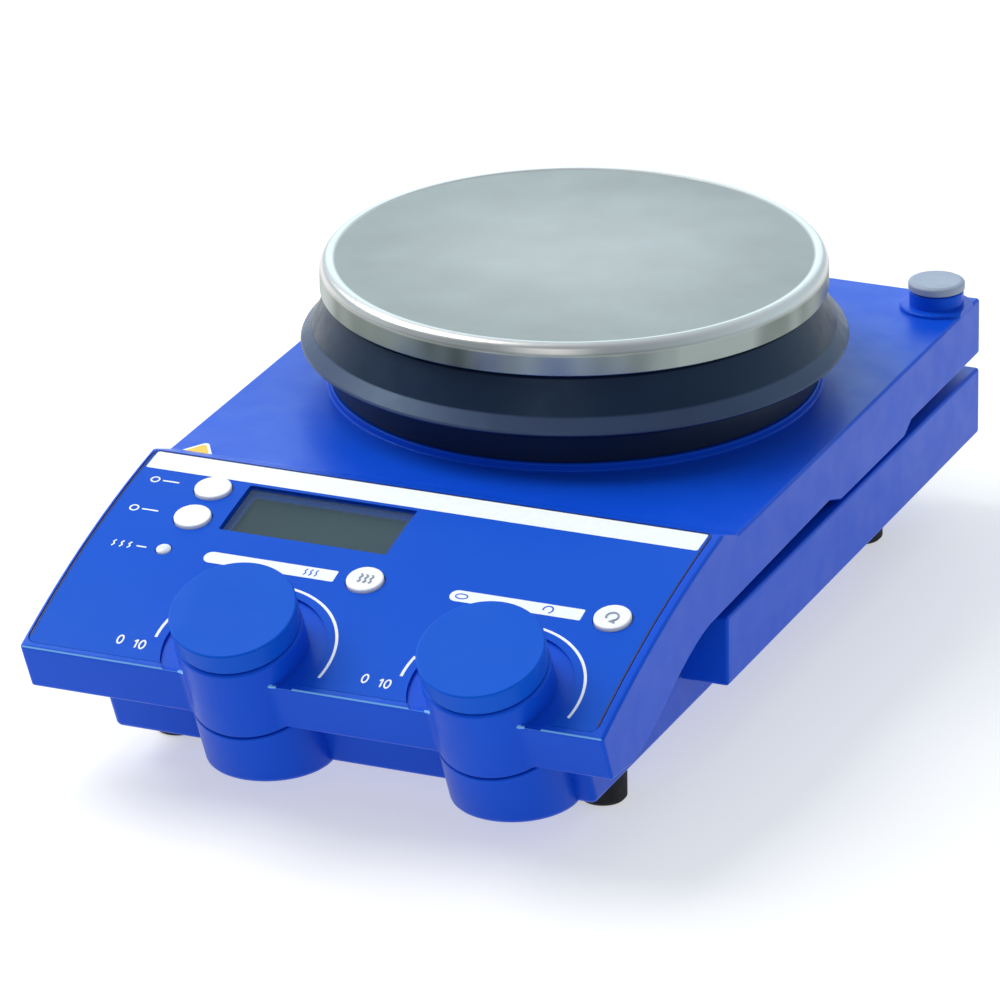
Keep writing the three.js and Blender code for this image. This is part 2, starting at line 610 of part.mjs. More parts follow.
function fusePieces([x, z]) {
  const face = PANEL_FACE_Y;
  const flange = rod(7.4, [face, face + 1.2], [x, z]);
  const barrel = rod(5.6, [face - 19, face + 0.5], [x, z]);
  place('fuse_holder', carve([barrel, flange], [rod(3.9, [face - 12, face + 3], [x, z])]), BLACK);
  const knob = rod(6.3, [face + 1.5, face + 5.2], [x, z]);
  const stem = rod(3.5, [face - 9, face + 2], [x, z]);
  const grip = slab([x - 7, x + 7], [face + 4.2, face + 6], [z - 0.9, z + 0.9]);
  place('fuse_cap', carve([knob, stem], [grip]), BLACK);
}

function signalSockets() {
  const face = PANEL_FACE_Y;
  const [x, z] = SOCKETS.serial;
  const plate = slab([x - 15.4, x + 15.4], [face, face + 0.9], [z - 6.2, z + 6.2]);
  const body = slab([x - 9.5, x + 9.5], [face - 10, face + 0.5], [z - 5.2, z + 5.2]);
  const shell = new THREE.Shape();
  shell.moveTo(-8.5, 4.1);
  shell.lineTo(-7.2, -4.1);
  shell.lineTo(7.2, -4.1);
  shell.lineTo(8.5, 4.1);
  const nose = new THREE.ExtrudeGeometry(shell, { depth: 5, bevelEnabled: false });
  nose.rotateX(Math.PI / 2).translate(x, face + 5, z);
  place('serial_socket', carve([plate, body, nose]), STEEL);
  const at = SOCKETS.sensor;
  const ring = rod(5.9, [face, face + 1.3], at);
  const barrel = rod(5, [face - 13, face + 0.5], at);
  place('sensor_socket', carve([ring, barrel], [rod(3.8, [face - 1.2, face + 2], at)]), BRASS);
}

function limitScrew(at) {
  const [x, z] = at;
  const slot = slab([x - 3, x + 3], [PANEL_FACE_Y + 0.2, PANEL_FACE_Y + 3], [z - 0.4, z + 0.4]);
  place('limit_screw', carve([rod(2.2, [TRAY_REAR_Y - 6, PANEL_FACE_Y + 1.4], at)], [slot]), BRASS);
}

function rodHolePlug() {
  const { x, y, radius, bossTop } = ROD_HOLE;
  const seat = bossTop + GAP;
  const profile = [[0, seat - 4], [radius - 0.4, seat - 4], [radius - 0.4, seat], [7.7, seat],
    [7.7, seat + 1.6], [6.9, seat + 2.3], [0, seat + 2.4]];
  place('rod_hole_plug', turned(profile, [x, y]), PLUG_GREY);
}

place('upper_housing', upperHousing(), BLUE);
place('panel_film', panelFilm(), PRINT);
displayPieces();
buttons();
frontBoard();
for (const [label, x] of Object.entries(KNOB_XS)) knobPieces(label, x);
place('lower_housing', lowerHousing(), BLUE);
place('base_tray', baseTray(), BLUE);
feet();
place('chassis_frame', chassisFrame(), BLACK);
caseScrews();
plateStack();
motor();
electronics();
powerInlet(SOCKETS.inlet);
mainsRocker(SOCKETS.rocker);
fusePieces(SOCKETS.fuse);
signalSockets();
limitScrew(SOCKETS.limit);
rodHolePlug();

export default group;
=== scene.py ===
import json
import math
import bmesh
import bpy
from mathutils import Matrix, Vector


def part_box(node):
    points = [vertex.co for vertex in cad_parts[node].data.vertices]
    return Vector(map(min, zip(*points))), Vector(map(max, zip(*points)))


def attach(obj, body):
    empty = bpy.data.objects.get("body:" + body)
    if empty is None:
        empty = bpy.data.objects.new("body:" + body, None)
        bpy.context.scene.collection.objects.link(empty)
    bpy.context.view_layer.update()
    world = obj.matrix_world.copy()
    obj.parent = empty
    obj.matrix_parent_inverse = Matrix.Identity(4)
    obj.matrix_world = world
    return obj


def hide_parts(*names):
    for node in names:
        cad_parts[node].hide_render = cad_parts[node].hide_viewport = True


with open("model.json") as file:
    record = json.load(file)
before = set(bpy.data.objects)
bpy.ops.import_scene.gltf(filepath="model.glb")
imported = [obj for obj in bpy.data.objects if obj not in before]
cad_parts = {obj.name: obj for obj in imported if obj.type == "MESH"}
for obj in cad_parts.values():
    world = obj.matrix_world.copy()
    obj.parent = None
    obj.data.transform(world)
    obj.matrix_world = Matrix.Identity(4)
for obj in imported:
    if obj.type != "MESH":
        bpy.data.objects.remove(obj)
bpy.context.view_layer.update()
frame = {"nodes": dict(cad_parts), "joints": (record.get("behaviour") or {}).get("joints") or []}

# ---------------------------------------------------------------------------
# Dimensions in millimetres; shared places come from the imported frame
# ---------------------------------------------------------------------------
MM = 0.001
RIM_RADIUS = 0.9               # rounded edges of the castings
PANEL_RADIUS = 325.65          # the control panel is an arc across the width
PANEL_CENTRE_Z = -259.07
ARC_STEPS = 40
TILT = math.radians(24.5)
SIDES = 128


def box_mm(node):
    low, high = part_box(node)
    return low / MM, high / MM


HOUSING_LOW, HOUSING_HIGH = box_mm("upper_housing")
RING_LOW, RING_HIGH = box_mm("plate_ring")
PLATE_LOW, PLATE_HIGH = box_mm("setup_plate")
FILM_LOW, FILM_HIGH = box_mm("panel_film")
LOWER_LOW, LOWER_HIGH = box_mm("lower_housing")
TRAY_LOW, TRAY_HIGH = box_mm("base_tray")
WINDOW_LOW, WINDOW_HIGH = box_mm("display_window")
PLUG_LOW, PLUG_HIGH = box_mm("rod_hole_plug")

HALF_WIDTH = HOUSING_HIGH.x
REAR_Y = HOUSING_HIGH.y
DECK_Z = 59.1
COLLAR_TOP = RING_LOW.z - 0.3
EDGE_Z = 43
DECK_FRONT_Y = -39
RIDGE_Y = -48.8
LIP_Y = -129.8
LIP_BOTTOM_Z = 26.1
WALL = 3
PLATE_Y = (PLATE_LOW.y + PLATE_HIGH.y) / 2
PLATE_AT = Matrix.Translation((0, PLATE_Y, 0))
JOINTS = {joint["name"]: joint for joint in frame["joints"]}
KNOB_XS = {
    "heat": JOINTS["heat_dial_turn"]["pos_m"][0] / MM,
    "speed": JOINTS["speed_dial_turn"]["pos_m"][0] / MM,
}
KNOB_Y = JOINTS["heat_dial_turn"]["pos_m"][1] / MM
KNOB_Z = JOINTS["heat_dial_turn"]["pos_m"][2] / MM
TOWER_RADIUS = 16.6
TOWER_TOP = -7.1
TOWER_END = -29.8
POD_START = -30.5
RECESS_RADIUS = 21
LAMP_AT = (-57.9, -89.8)


def button_spot(node):
    low, high = box_mm(node)
    axis = Vector(JOINTS[node[:4] + "_key_press"]["axis"])
    return ((low.x + high.x) / 2, -axis.y * PANEL_RADIUS)


# ---------------------------------------------------------------------------
# The panel's arc and local frames
# ---------------------------------------------------------------------------
def panel_z(y, inset=0.0):
    return PANEL_CENTRE_Z + math.sqrt((PANEL_RADIUS - inset) ** 2 - y * y)


def panel_matrix(x, y):
    lean = Matrix.Rotation(math.asin(-y / PANEL_RADIUS), 4, "X")
    return Matrix.Translation((x, y, panel_z(y))) @ lean


def knob_matrix(x):
    return Matrix.Translation((x, KNOB_Y, KNOB_Z)) @ Matrix.Rotation(TILT, 4, "X")


def lip_y(z, inset=0.0):
    return LIP_Y + (panel_z(LIP_Y) - z) * math.tan(TILT) + inset / math.cos(TILT)


def arc_points(y0, y1, inset=0.0, steps=ARC_STEPS):
    ys = [y0 + (y1 - y0) * i / steps for i in range(steps + 1)]
    return [(y, panel_z(y, inset)) for y in ys]


# ---------------------------------------------------------------------------
# Mesh tools
# ---------------------------------------------------------------------------
def make_object(name, verts, faces, matrix=None):
    bm = bmesh.new()
    made = [bm.verts.new(Vector(v)) for v in verts]
    for face in faces:
        bm.faces.new([made[i] for i in face])
    if matrix is not None:
        bm.transform(matrix)
    bm.transform(Matrix.Scale(MM, 4))
    bmesh.ops.remove_doubles(bm, verts=bm.verts, dist=1e-7)
    bmesh.ops.recalc_face_normals(bm, faces=bm.faces)
    mesh = bpy.data.meshes.new(name)
    bm.to_mesh(mesh)
    bm.free()
    obj = bpy.data.objects.new(name, mesh)
    bpy.context.scene.collection.objects.link(obj)
    return obj


def soften(corners, closed=True, steps=5):
    """Corner points (a, b) or (a, b, radius) become a polyline with arcs."""
    points = []
    count = len(corners)
    for i, corner in enumerate(corners):
        here = Vector(corner[:2])
        radius = corner[2] if len(corner) > 2 else 0
        if radius == 0 or (not closed and i in (0, count - 1)):
            points.append(tuple(here))
            continue
        before = Vector(corners[i - 1][:2]) - here
        after = Vector(corners[(i + 1) % count][:2]) - here
        half = before.angle(after) / 2
        reach = min(radius / math.tan(half), 0.49 * before.length, 0.49 * after.length)
        bend = reach * math.tan(half)
        middle = here + (before.normalized() + after.normalized()).normalized() * bend / math.sin(half)
        start = here + before.normalized() * reach - middle
        end = here + after.normalized() * reach - middle
        sweep = math.atan2(start.cross(end), start.dot(end))
        for k in range(steps + 1):
            angle = sweep * k / steps
            c, s = math.cos(angle), math.sin(angle)
            points.append((middle.x + start.x * c - start.y * s, middle.y + start.x * s + start.y * c))
    return points


def lathe(name, profile, matrix=None, sides=SIDES):
    """Turned piece: the profile (r, z) runs from axis to axis, or is a closed loop off the axis."""
    on_axis = profile[0][0] == 0 and profile[-1][0] == 0
    verts, rings = [], []
    for r, z in profile:
        if r == 0:
            rings.append([len(verts)] * sides)
            verts.append((0, 0, z))
            continue
        rings.append(list(range(len(verts), len(verts) + sides)))
        for k in range(sides):
            angle = 2 * math.pi * k / sides
            verts.append((r * math.cos(angle), r * math.sin(angle), z))
    faces = []
    pairs = list(zip(rings, rings[1:]))
    if not on_axis:
        pairs.append((rings[-1], rings[0]))
    for a, b in pairs:
        for k in range(sides):
            n = (k + 1) % sides
            corners = []
            for index in (a[k], a[n], b[n], b[k]):
                if index not in corners:
                    corners.append(index)
            if len(corners) > 2:
                faces.append(corners)
    return make_object(name, verts, faces, matrix)


ACROSS_X = Matrix(((0, 0, 1, 0), (1, 0, 0, 0), (0, 1, 0, 0), (0, 0, 0, 1)))


def prism(name, outline, low, high, matrix=None):
    """Outline (a, b) extruded from low to high along the third axis of the matrix."""
    count = len(outline)
    verts = [(a, b, low) for a, b in outline] + [(a, b, high) for a, b in outline]
    faces = [list(range(count))[::-1], list(range(count, 2 * count))]
    for k in range(count):
        n = (k + 1) % count
        faces.append([k, n, count + n, count + k])
    return make_object(name, verts, faces, matrix)


def block(name, xs, ys, zs, matrix=None):
    outline = [(xs[0], ys[0]), (xs[1], ys[0]), (xs[1], ys[1]), (xs[0], ys[1])]
    return prism(name, outline, zs[0], zs[1], matrix)


def rounded_plan(xs, ys, radius, steps=5):
    corners = [(xs[0], ys[0]), (xs[1], ys[0]), (xs[1], ys[1]), (xs[0], ys[1])]
    return soften([(x, y, radius) for x, y in corners], steps=steps)


def cylinder(name, radius, zs, matrix=None, sides=SIDES):
    return lathe(name, [(0, zs[0]), (radius, zs[0]), (radius, zs[1]), (0, zs[1])], matrix, sides)


def bevel(obj, radius, pick=None, segments=4, least_angle=20):
    """Rounds the sharp edges whose middle point, in millimetres, the test picks."""
    bm = bmesh.new()
    bm.from_mesh(obj.data)
    edges = []
    for edge in bm.edges:
        if len(edge.link_faces) != 2 or edge.calc_face_angle() < math.radians(least_angle):
            continue
        a, b = (v.co / MM for v in edge.verts)
        if pick is None or pick((a + b) / 2, b - a):
            edges.append(edge)
    bmesh.ops.bevel(bm, geom=edges, offset=radius * MM, segments=segments, profile=0.5,
                    affect="EDGES", clamp_overlap=True)
    bm.to_mesh(obj.data)
    bm.free()
    return obj


def combine(obj, others, operation="DIFFERENCE"):
    for other in others:
        step = obj.modifiers.new("step", "BOOLEAN")
        step.operation = operation
        step.solver = "EXACT"
        step.object = other
        graph = bpy.context.evaluated_depsgraph_get()
        mesh = bpy.data.meshes.new_from_object(obj.evaluated_get(graph))
        obj.modifiers.clear()
        obj.data = mesh
        bpy.data.objects.remove(other)
    return obj


def tidy_mesh(obj, dissolve=0.05):
    bm = bmesh.new()
    bm.from_mesh(obj.data)
    bmesh.ops.remove_doubles(bm, verts=bm.verts, dist=2e-6)
    bmesh.ops.dissolve_degenerate(bm, edges=bm.edges, dist=1e-6)
    bmesh.ops.dissolve_limit(bm, angle_limit=math.radians(dissolve), verts=bm.verts, edges=bm.edges)
    bm.to_mesh(obj.data)
    bm.free()
    return obj


def shade(obj, angle=32):
    bm = bmesh.new()
    bm.from_mesh(obj.data)
    limit = math.radians(angle)
    for face in bm.faces:
        face.smooth = True
    for edge in bm.edges:
        edge.smooth = len(edge.link_faces) == 2 and edge.calc_face_angle(0) < limit
    bm.to_mesh(obj.data)
    bm.free()
    weighted = obj.modifiers.new("normals", "WEIGHTED_NORMAL")
    weighted.keep_sharp = True
    return obj


def dress(obj, look, body, replaced=(), angle=32):
    """Shading, material, body and material slot of a finished piece."""
    shade(obj, angle)
    obj.data.materials.clear()
    obj.data.materials.append(look)
    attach(obj, body)
    if replaced:
        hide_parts(*replaced)
    return obj


# ---------------------------------------------------------------------------
# Materials
# ---------------------------------------------------------------------------
def srgb(red, green, blue):
    def linear(value):
        value /= 255
        return value / 12.92 if value <= 0.04045 else ((value + 0.055) / 1.055) ** 2.4
    return (linear(red), linear(green), linear(blue), 1)


COOL_GLOSS = (0.3, 0.85, 1.0, 1)     # tint of the blue parts' highlights


class Shader:
    """A principled material under construction."""

    def __init__(self, name):
        self.material = bpy.data.materials.new(name)
        self.material.use_nodes = True
        self.tree = self.material.node_tree
        self.bsdf = self.tree.nodes["Principled BSDF"]
        self.place = self.node("ShaderNodeTexCoord").outputs["Object"]
        self.height = None

    def node(self, kind, **settings):
        made = self.tree.nodes.new(kind)
        for key, value in settings.items():
            setattr(made, key, value)
        return made

    def link(self, source, target):
        self.tree.links.new(source, target)

    def set(self, **values):
        for key, value in values.items():
            self.bsdf.inputs[key.replace("_", " ")].default_value = value
        return self

    def noise(self, scale, detail=3, stretch=(1, 1, 1), roughness=0.55):
        """Noise whose scale counts features per metre."""
        mapping = self.node("ShaderNodeMapping")
        mapping.inputs["Scale"].default_value = stretch
        self.link(self.place, mapping.inputs["Vector"])
        noise = self.node("ShaderNodeTexNoise")
        noise.inputs["Scale"].default_value = scale
        noise.inputs["Detail"].default_value = detail
        noise.inputs["Roughness"].default_value = roughness
        self.link(mapping.outputs["Vector"], noise.inputs["Vector"])
        return noise.outputs["Fac"]

    def ramp(self, value, stops):
        ramp = self.node("ShaderNodeValToRGB").color_ramp
        while len(ramp.elements) < len(stops):
            ramp.elements.new(0.5)
        for element, (place, color) in zip(ramp.elements, stops):
            element.position = place
            element.color = color
        node = self.tree.nodes[-1]
        self.link(value, node.inputs["Fac"])
        return node.outputs["Color"]

    def spread(self, value, low, high, out_low, out_high):
        spread = self.node("ShaderNodeMapRange")
        for key, number in zip(("From Min", "From Max", "To Min", "To Max"), (low, high, out_low, out_high)):
            spread.inputs[key].default_value = number
        self.link(value, spread.inputs["Value"])
        return spread.outputs["Result"]

    def mix(self, factor, first, second):
        mix = self.node("ShaderNodeMix", data_type="RGBA")
        for key, value in (("Factor", factor), ("A", first), ("B", second)):
            socket = [s for s in mix.inputs if s.name == key and s.enabled][0]
            if hasattr(value, "is_linked"):
                self.link(value, socket)
            else:
                socket.default_value = value
        return [s for s in mix.outputs if s.enabled][0]

    def edges(self, radius, low=0.02, high=0.35):
        """0 on flat areas, 1 on edges sharper than the radius in millimetres."""
        bevel_node = self.node("ShaderNodeBevel", samples=4)
        bevel_node.inputs["Radius"].default_value = radius * MM
        geometry = self.node("ShaderNodeNewGeometry")
        dot = self.node("ShaderNodeVectorMath", operation="DOT_PRODUCT")
        self.link(bevel_node.outputs["Normal"], dot.inputs[0])
        self.link(geometry.outputs["Normal"], dot.inputs[1])
        return self.spread(dot.outputs["Value"], 1 - low, 1 - high, 0, 1)

    def color(self, value):
        if hasattr(value, "is_linked"):
            self.link(value, self.bsdf.inputs["Base Color"])
        else:
            self.bsdf.inputs["Base Color"].default_value = value
        return self

    def rough(self, value, low, high):
        self.link(self.spread(value, 0.3, 0.7, low, high), self.bsdf.inputs["Roughness"])
        return self

    def bump(self, value, depth, strength=1.0):
        """Adds relief of the depth in millimetres."""
        bump = self.node("ShaderNodeBump")
        bump.inputs["Strength"].default_value = strength
        bump.inputs["Distance"].default_value = depth * MM
        self.link(value, bump.inputs["Height"])
        if self.height is not None:
            self.link(self.height, bump.inputs["Normal"])
        self.height = bump.outputs["Normal"]
        self.link(self.height, self.bsdf.inputs["Normal"])
        return self


def painted_lip_highlight(shader):
    """Mask of the painted highlight line along the panel's front edge."""
    offset = shader.node("ShaderNodeVectorMath", operation="SUBTRACT")
    shader.link(shader.place, offset.inputs[0])
    offset.inputs[1].default_value = (0, LIP_Y * MM, panel_z(LIP_Y) * MM)
    across = shader.node("ShaderNodeVectorMath", operation="MULTIPLY")
    shader.link(offset.outputs["Vector"], across.inputs[0])
    across.inputs[1].default_value = (0, 1, 1)
    reach = shader.node("ShaderNodeVectorMath", operation="LENGTH")
    shader.link(across.outputs["Vector"], reach.inputs[0])
    return shader.spread(reach.outputs["Value"], 0.36 * MM, 0.56 * MM, 0.95, 0)


def coated(name, base, dark, light, rough=(0.30, 0.40), gloss=0.3, lip_highlight_color=None):
    """Sprayed satin coating: faint clouding, orange peel, lighter mottled edges that are part wear and part
    painted highlight, and an optional painted highlight line on the panel's front edge.
    """
    shader = Shader(name)
    cloud = shader.noise(14, 4)
    body = shader.ramp(cloud, [(0.3, dark), (0.7, base)])
    # Lighter edges, mottled by the speckle: part rubbed wear, part painted highlight.
    edge = shader.edges(0.7)
    speck = shader.spread(shader.noise(900, 2), 0.45, 0.62, 0, 0.5)
    worn_and_highlit_edges = shader.node("ShaderNodeMath", operation="MULTIPLY")
    shader.link(edge, worn_and_highlit_edges.inputs[0])
    shader.link(speck, worn_and_highlit_edges.inputs[1])
    body = shader.mix(worn_and_highlit_edges.outputs[0], body, light)
    if lip_highlight_color:
        # Lighter line along the panel's front edge: painted highlight.
        body = shader.mix(painted_lip_highlight(shader), body, lip_highlight_color)
    shader.color(body)
    shader.rough(shader.noise(120, 3), *rough)
    shader.bump(shader.noise(620, 2), 0.03, 0.25)
    shader.bump(shader.noise(2600, 1), 0.008, 0.3)
    shader.set(Specular_IOR_Level=gloss, Specular_Tint=COOL_GLOSS)
    return shader.material


def blue_coating():
    # The third colour tints the lighter edges, part wear and part painted highlight; the last is the painted
    # highlight line along the panel's front edge.
    return coated("blue_coating", srgb(14, 78, 210), srgb(10, 71, 201), srgb(64, 132, 226),
                  gloss=0.2, lip_highlight_color=srgb(140, 198, 246))


def blue_knob():
    return coated("blue_knob", srgb(10, 86, 208), srgb(6, 78, 198), srgb(64, 130, 222),
                  (0.40, 0.50), 0.15)


def panel_print():
    """Satin polyester film, printed from behind."""
    shader = Shader("panel_print")
    cloud = shader.noise(10, 3)
    shader.color(shader.ramp(cloud, [(0.3, srgb(4, 74, 196)), (0.7, srgb(7, 80, 202))]))
    shader.rough(shader.noise(260, 3), 0.36, 0.46)
    shader.bump(shader.noise(4200, 1), 0.006, 0.35)
    shader.set(Specular_IOR_Level=0.15, Specular_Tint=COOL_GLOSS)
    return shader.material


def ink(name, color, light=None):
    """Screen-printed ink with slightly uneven cover."""
    shader = Shader(name)
    cover = shader.noise(700, 3)
    shader.color(shader.ramp(cover, [(0.35, color), (0.75, light or color)]))
    shader.rough(shader.noise(900, 2), 0.4, 0.55)
    shader.bump(shader.noise(3000, 1), 0.004, 0.3)
    return shader.material


def plate_steel():
    """Brushed plate: fine turned lines, soft handling stains, lighter towards the centre, a painted
    highlight on the rim and painted reflections on the skirt.
    """
    shader = Shader("plate_steel")
    centre = shader.node("ShaderNodeVectorMath", operation="SUBTRACT")
    shader.link(shader.place, centre.inputs[0])
    centre.inputs[1].default_value = (0, PLATE_Y * MM, 0)
    flat = shader.node("ShaderNodeVectorMath", operation="MULTIPLY")
    shader.link(centre.outputs["Vector"], flat.inputs[0])
    flat.inputs[1].default_value = (1, 1, 0)
    radius = shader.node("ShaderNodeVectorMath", operation="LENGTH")
    shader.link(flat.outputs["Vector"], radius.inputs[0])
    turned = shader.node("ShaderNodeTexNoise", noise_dimensions="1D")
    turned.inputs["Scale"].default_value = 2600
    turned.inputs["Detail"].default_value = 3
    shader.link(radius.outputs["Value"], turned.inputs["W"])
    stain = shader.noise(26, 5)
    outer = shader.ramp(stain, [(0.3, srgb(134, 130, 126)), (0.7, srgb(142, 138, 133))])
    middle = shader.ramp(stain, [(0.3, srgb(157, 150, 147)), (0.7, srgb(165, 158, 155))])
    reach = shader.spread(radius.outputs["Value"], 0.01, 0.058, 1, 0)
    face = shader.mix(reach, outer, middle)
    # Lighter rim on the rolled bead: painted highlight.
    rim_highlight_mask = shader.spread(radius.outputs["Value"], 0.0634, 0.0642, 0, 1)
    tone = shader.mix(rim_highlight_mask, face, srgb(217, 213, 209))
    split = shader.node("ShaderNodeSeparateXYZ")
    shader.link(shader.place, split.inputs["Vector"])
    # Below the top, the skirt takes dark and light patches: painted reflection.
    height = shader.spread(split.outputs["Z"], (PLATE_HIGH.z - 3.4) * MM, (PLATE_HIGH.z - 2.2) * MM, 0, 1)
    painted_skirt_reflections = shader.ramp(shader.noise(34, 2, (1, 1, 0.2)), [(0.38, srgb(74, 84, 76)),
                                                            (0.62, srgb(154, 164, 160))])
    shader.color(shader.mix(height, painted_skirt_reflections, tone))
    shader.rough(shader.noise(60, 4), 0.27, 0.34)
    shader.bump(turned.outputs["Fac"], 0.004, 0.3)
    shader.bump(shader.noise(900, 2), 0.002, 0.2)
    shader.set(Metallic=1.0)
    return shader.material


def dark_ring():
    """Heat-resistant moulded ring, dark blue grey with a fine grain and a lighter band painted as reflection
    of the floor.
    """
    shader = Shader("dark_ring")
    cloud = shader.noise(30, 4)
    cone = shader.ramp(cloud, [(0.3, srgb(20, 29, 52)), (0.7, srgb(26, 36, 60))])
    # Lighter band between about 72 and 76 mm height: painted reflection.
    band = shader.ramp(cloud, [(0.3, srgb(58, 67, 93)), (0.7, srgb(66, 76, 103))])
    split = shader.node("ShaderNodeSeparateXYZ")
    shader.link(shader.place, split.inputs["Vector"])
    above = shader.spread(split.outputs["Z"], 75.6 * MM, 76.2 * MM, 0, 1)
    below = shader.spread(split.outputs["Z"], 71.6 * MM, 72.2 * MM, 0, 1)
    body = shader.mix(below, srgb(26, 33, 50), shader.mix(above, band, cone))
    shader.color(shader.mix(shader.edges(0.6), body, srgb(46, 60, 88)))
    shader.rough(shader.noise(200, 3), 0.3, 0.42)
    shader.bump(shader.noise(2200, 2), 0.012, 0.3)
    shader.set(Specular_IOR_Level=0.35, Specular_Tint=(0.5, 0.8, 1.0, 1))
    return shader.material


def plastic(name, dark, light, rough=(0.45, 0.6), grain=1800, depth=0.02, edge=None):
    """Moulded plastic or rubber with a spark-eroded grain."""
    shader = Shader(name)
    body = shader.ramp(shader.noise(50, 4), [(0.3, dark), (0.7, light)])
    if edge is not None:
        body = shader.mix(shader.edges(0.4), body, edge)
    shader.color(body)
    shader.rough(shader.noise(300, 3), *rough)
    shader.bump(shader.noise(grain, 2), depth, 0.4)
    return shader


def metal(name, dark, light, rough=(0.25, 0.4), stretch=(1, 1, 1), grain=1500):
    """Machined or rolled metal with fine scratches, drawn out along one axis when a stretch is given."""
    shader = Shader(name)
    shader.color(shader.ramp(shader.noise(60, 4), [(0.3, dark), (0.7, light)]))
    shader.rough(shader.noise(220, 4, stretch), *rough)
    shader.bump(shader.noise(grain, 3, stretch), 0.01, 0.35)
    shader.set(Metallic=1.0)
    return shader.material


def window_material():
    shader = Shader("window")
    smear = shader.noise(60, 3)
    shader.color(shader.ramp(smear, [(0.3, srgb(60, 84, 92)), (0.7, srgb(68, 92, 98))]))
    shader.rough(shader.noise(200, 3), 0.06, 0.12)
    shader.set(Alpha=0.3, Coat_Weight=0.5, Coat_Roughness=0.05)
    return shader.material


def display_material():
    """Reflective display cell with a fine dot pitch and a slow change of tone across it."""
    shader = Shader("display_cell")
    split = shader.node("ShaderNodeSeparateXYZ")
    shader.link(shader.place, split.inputs["Vector"])
    across = shader.spread(split.outputs["X"], WINDOW_LOW.x * MM, WINDOW_HIGH.x * MM, 0, 1)
    tone = shader.ramp(across, [(0.0, srgb(7, 39, 50)), (0.55, srgb(16, 54, 66)),
                                (1.0, srgb(16, 59, 72))])
    shader.color(tone)
    shader.rough(shader.noise(300, 2), 0.3, 0.4)
    shader.bump(shader.noise(5000, 1), 0.004, 0.3)
    return shader.material


def circuit_board():
    shader = Shader("circuit_board")
    tracks = shader.noise(420, 1, (1, 0.2, 1))
    shader.color(shader.ramp(tracks, [(0.42, srgb(24, 84, 52)), (0.5, srgb(36, 112, 70)),
                                      (0.58, srgb(22, 78, 48))]))
    shader.rough(shader.noise(300, 2), 0.35, 0.5)
    shader.bump(tracks, 0.03, 0.4)
    return shader.material


def make_looks():
    looks = {
        "blue_coating": blue_coating(),
        "blue_knob": blue_knob(),
        "panel_print": panel_print(),
        "white_print": ink("white_print", srgb(240, 243, 246), srgb(248, 250, 252)),
        "grey_print": ink("grey_print", srgb(120, 134, 160), srgb(140, 152, 176)),
        # Navy ink for the painted shadow lines along the film's edges.
        "painted_edge_shade": ink("painted_edge_shade", srgb(8, 18, 70), srgb(10, 22, 84)),
        "yellow_print": ink("yellow_print", srgb(236, 190, 40), srgb(244, 202, 60)),
        "plate_steel": plate_steel(),
        "dark_ring": dark_ring(),
        "black_plastic": plastic("black_plastic", srgb(18, 19, 22), srgb(28, 29, 33),
                                 edge=srgb(60, 62, 68)).material,
        "black_rubber": plastic("black_rubber", srgb(13, 13, 14), srgb(24, 24, 25), (0.7, 0.9),
                                1200, 0.05).material,
        "white_button": plastic("white_button", srgb(246, 243, 240), srgb(252, 249, 246),
                                (0.35, 0.45), 2400, 0.006).material,
        "grey_plug": plastic("grey_plug", srgb(141, 150, 169), srgb(154, 163, 182), (0.4, 0.55),
                             2000, 0.012).material,
        "window": window_material(),
        "display_cell": display_material(),
        "lamp_lens": plastic("lamp_lens", srgb(222, 226, 236), srgb(236, 238, 244), (0.15, 0.25),
                             1500, 0.004).material,
        "circuit_board": circuit_board(),
        "wool": plastic("wool", srgb(196, 188, 168), srgb(222, 216, 200), (0.9, 1.0), 700,
                        0.25).material,
        "steel": metal("steel", srgb(150, 154, 158), srgb(182, 186, 190)),
        "magnet": metal("magnet", srgb(132, 136, 142), srgb(160, 164, 170), (0.18, 0.3)),
        "brass": metal("brass", srgb(176, 146, 82), srgb(204, 176, 110)),
        "copper": metal("copper", srgb(160, 92, 52), srgb(192, 122, 76)),
        "cast_alloy": metal("cast_alloy", srgb(120, 124, 130), srgb(150, 154, 160), (0.45, 0.6)),
    }
    return looks


LOOKS = make_looks()


# ---------------------------------------------------------------------------
# Upper housing
# ---------------------------------------------------------------------------
def bezier(p0, p1, p2, p3, steps):
    points = []
    for k in range(1, steps + 1):
        t = k / steps
        s = 1 - t
        weights = (s ** 3, 3 * s * s * t, 3 * s * t * t, t ** 3)
        points.append(tuple(sum(w * p[i] for w, p in zip(weights, (p0, p1, p2, p3))) for i in (0, 1)))
    return points


def housing_outline():
    outline = [(REAR_Y, EDGE_Z), (REAR_Y, DECK_Z), (DECK_FRONT_Y, DECK_Z)]
    outline += arc_points(RIDGE_Y, LIP_Y)
    outline += [(lip_y(LIP_BOTTOM_Z), LIP_BOTTOM_Z), (-111.2, 25.1)]
    outline += bezier((-111.2, 25.1), (-96, 26), (-78, 40), (-58, 41.6), 12)
    step = EDGE_Z - 2.9
    outline += [(26.2, EDGE_Z), (34.8, step), (81.8, step), (87.1, EDGE_Z)]
    return outline


def cavity_outline():
    y = LIP_Y
    for _ in range(8):
        y = lip_y(panel_z(y, WALL), WALL)
    inside = [(REAR_Y - WALL, 0), (REAR_Y - WALL, DECK_Z - WALL), (DECK_FRONT_Y, DECK_Z - WALL)]
    return inside + arc_points(RIDGE_Y, y, WALL) + [(lip_y(0, WALL), 0)]


def above_panel(name, y0, y1, inset, xs=(-90, 90)):
    outline = [(y1, 90), (y0, 90)] + arc_points(y0, y1, inset)
    return prism(name, outline, xs[0], xs[1], ACROSS_X)


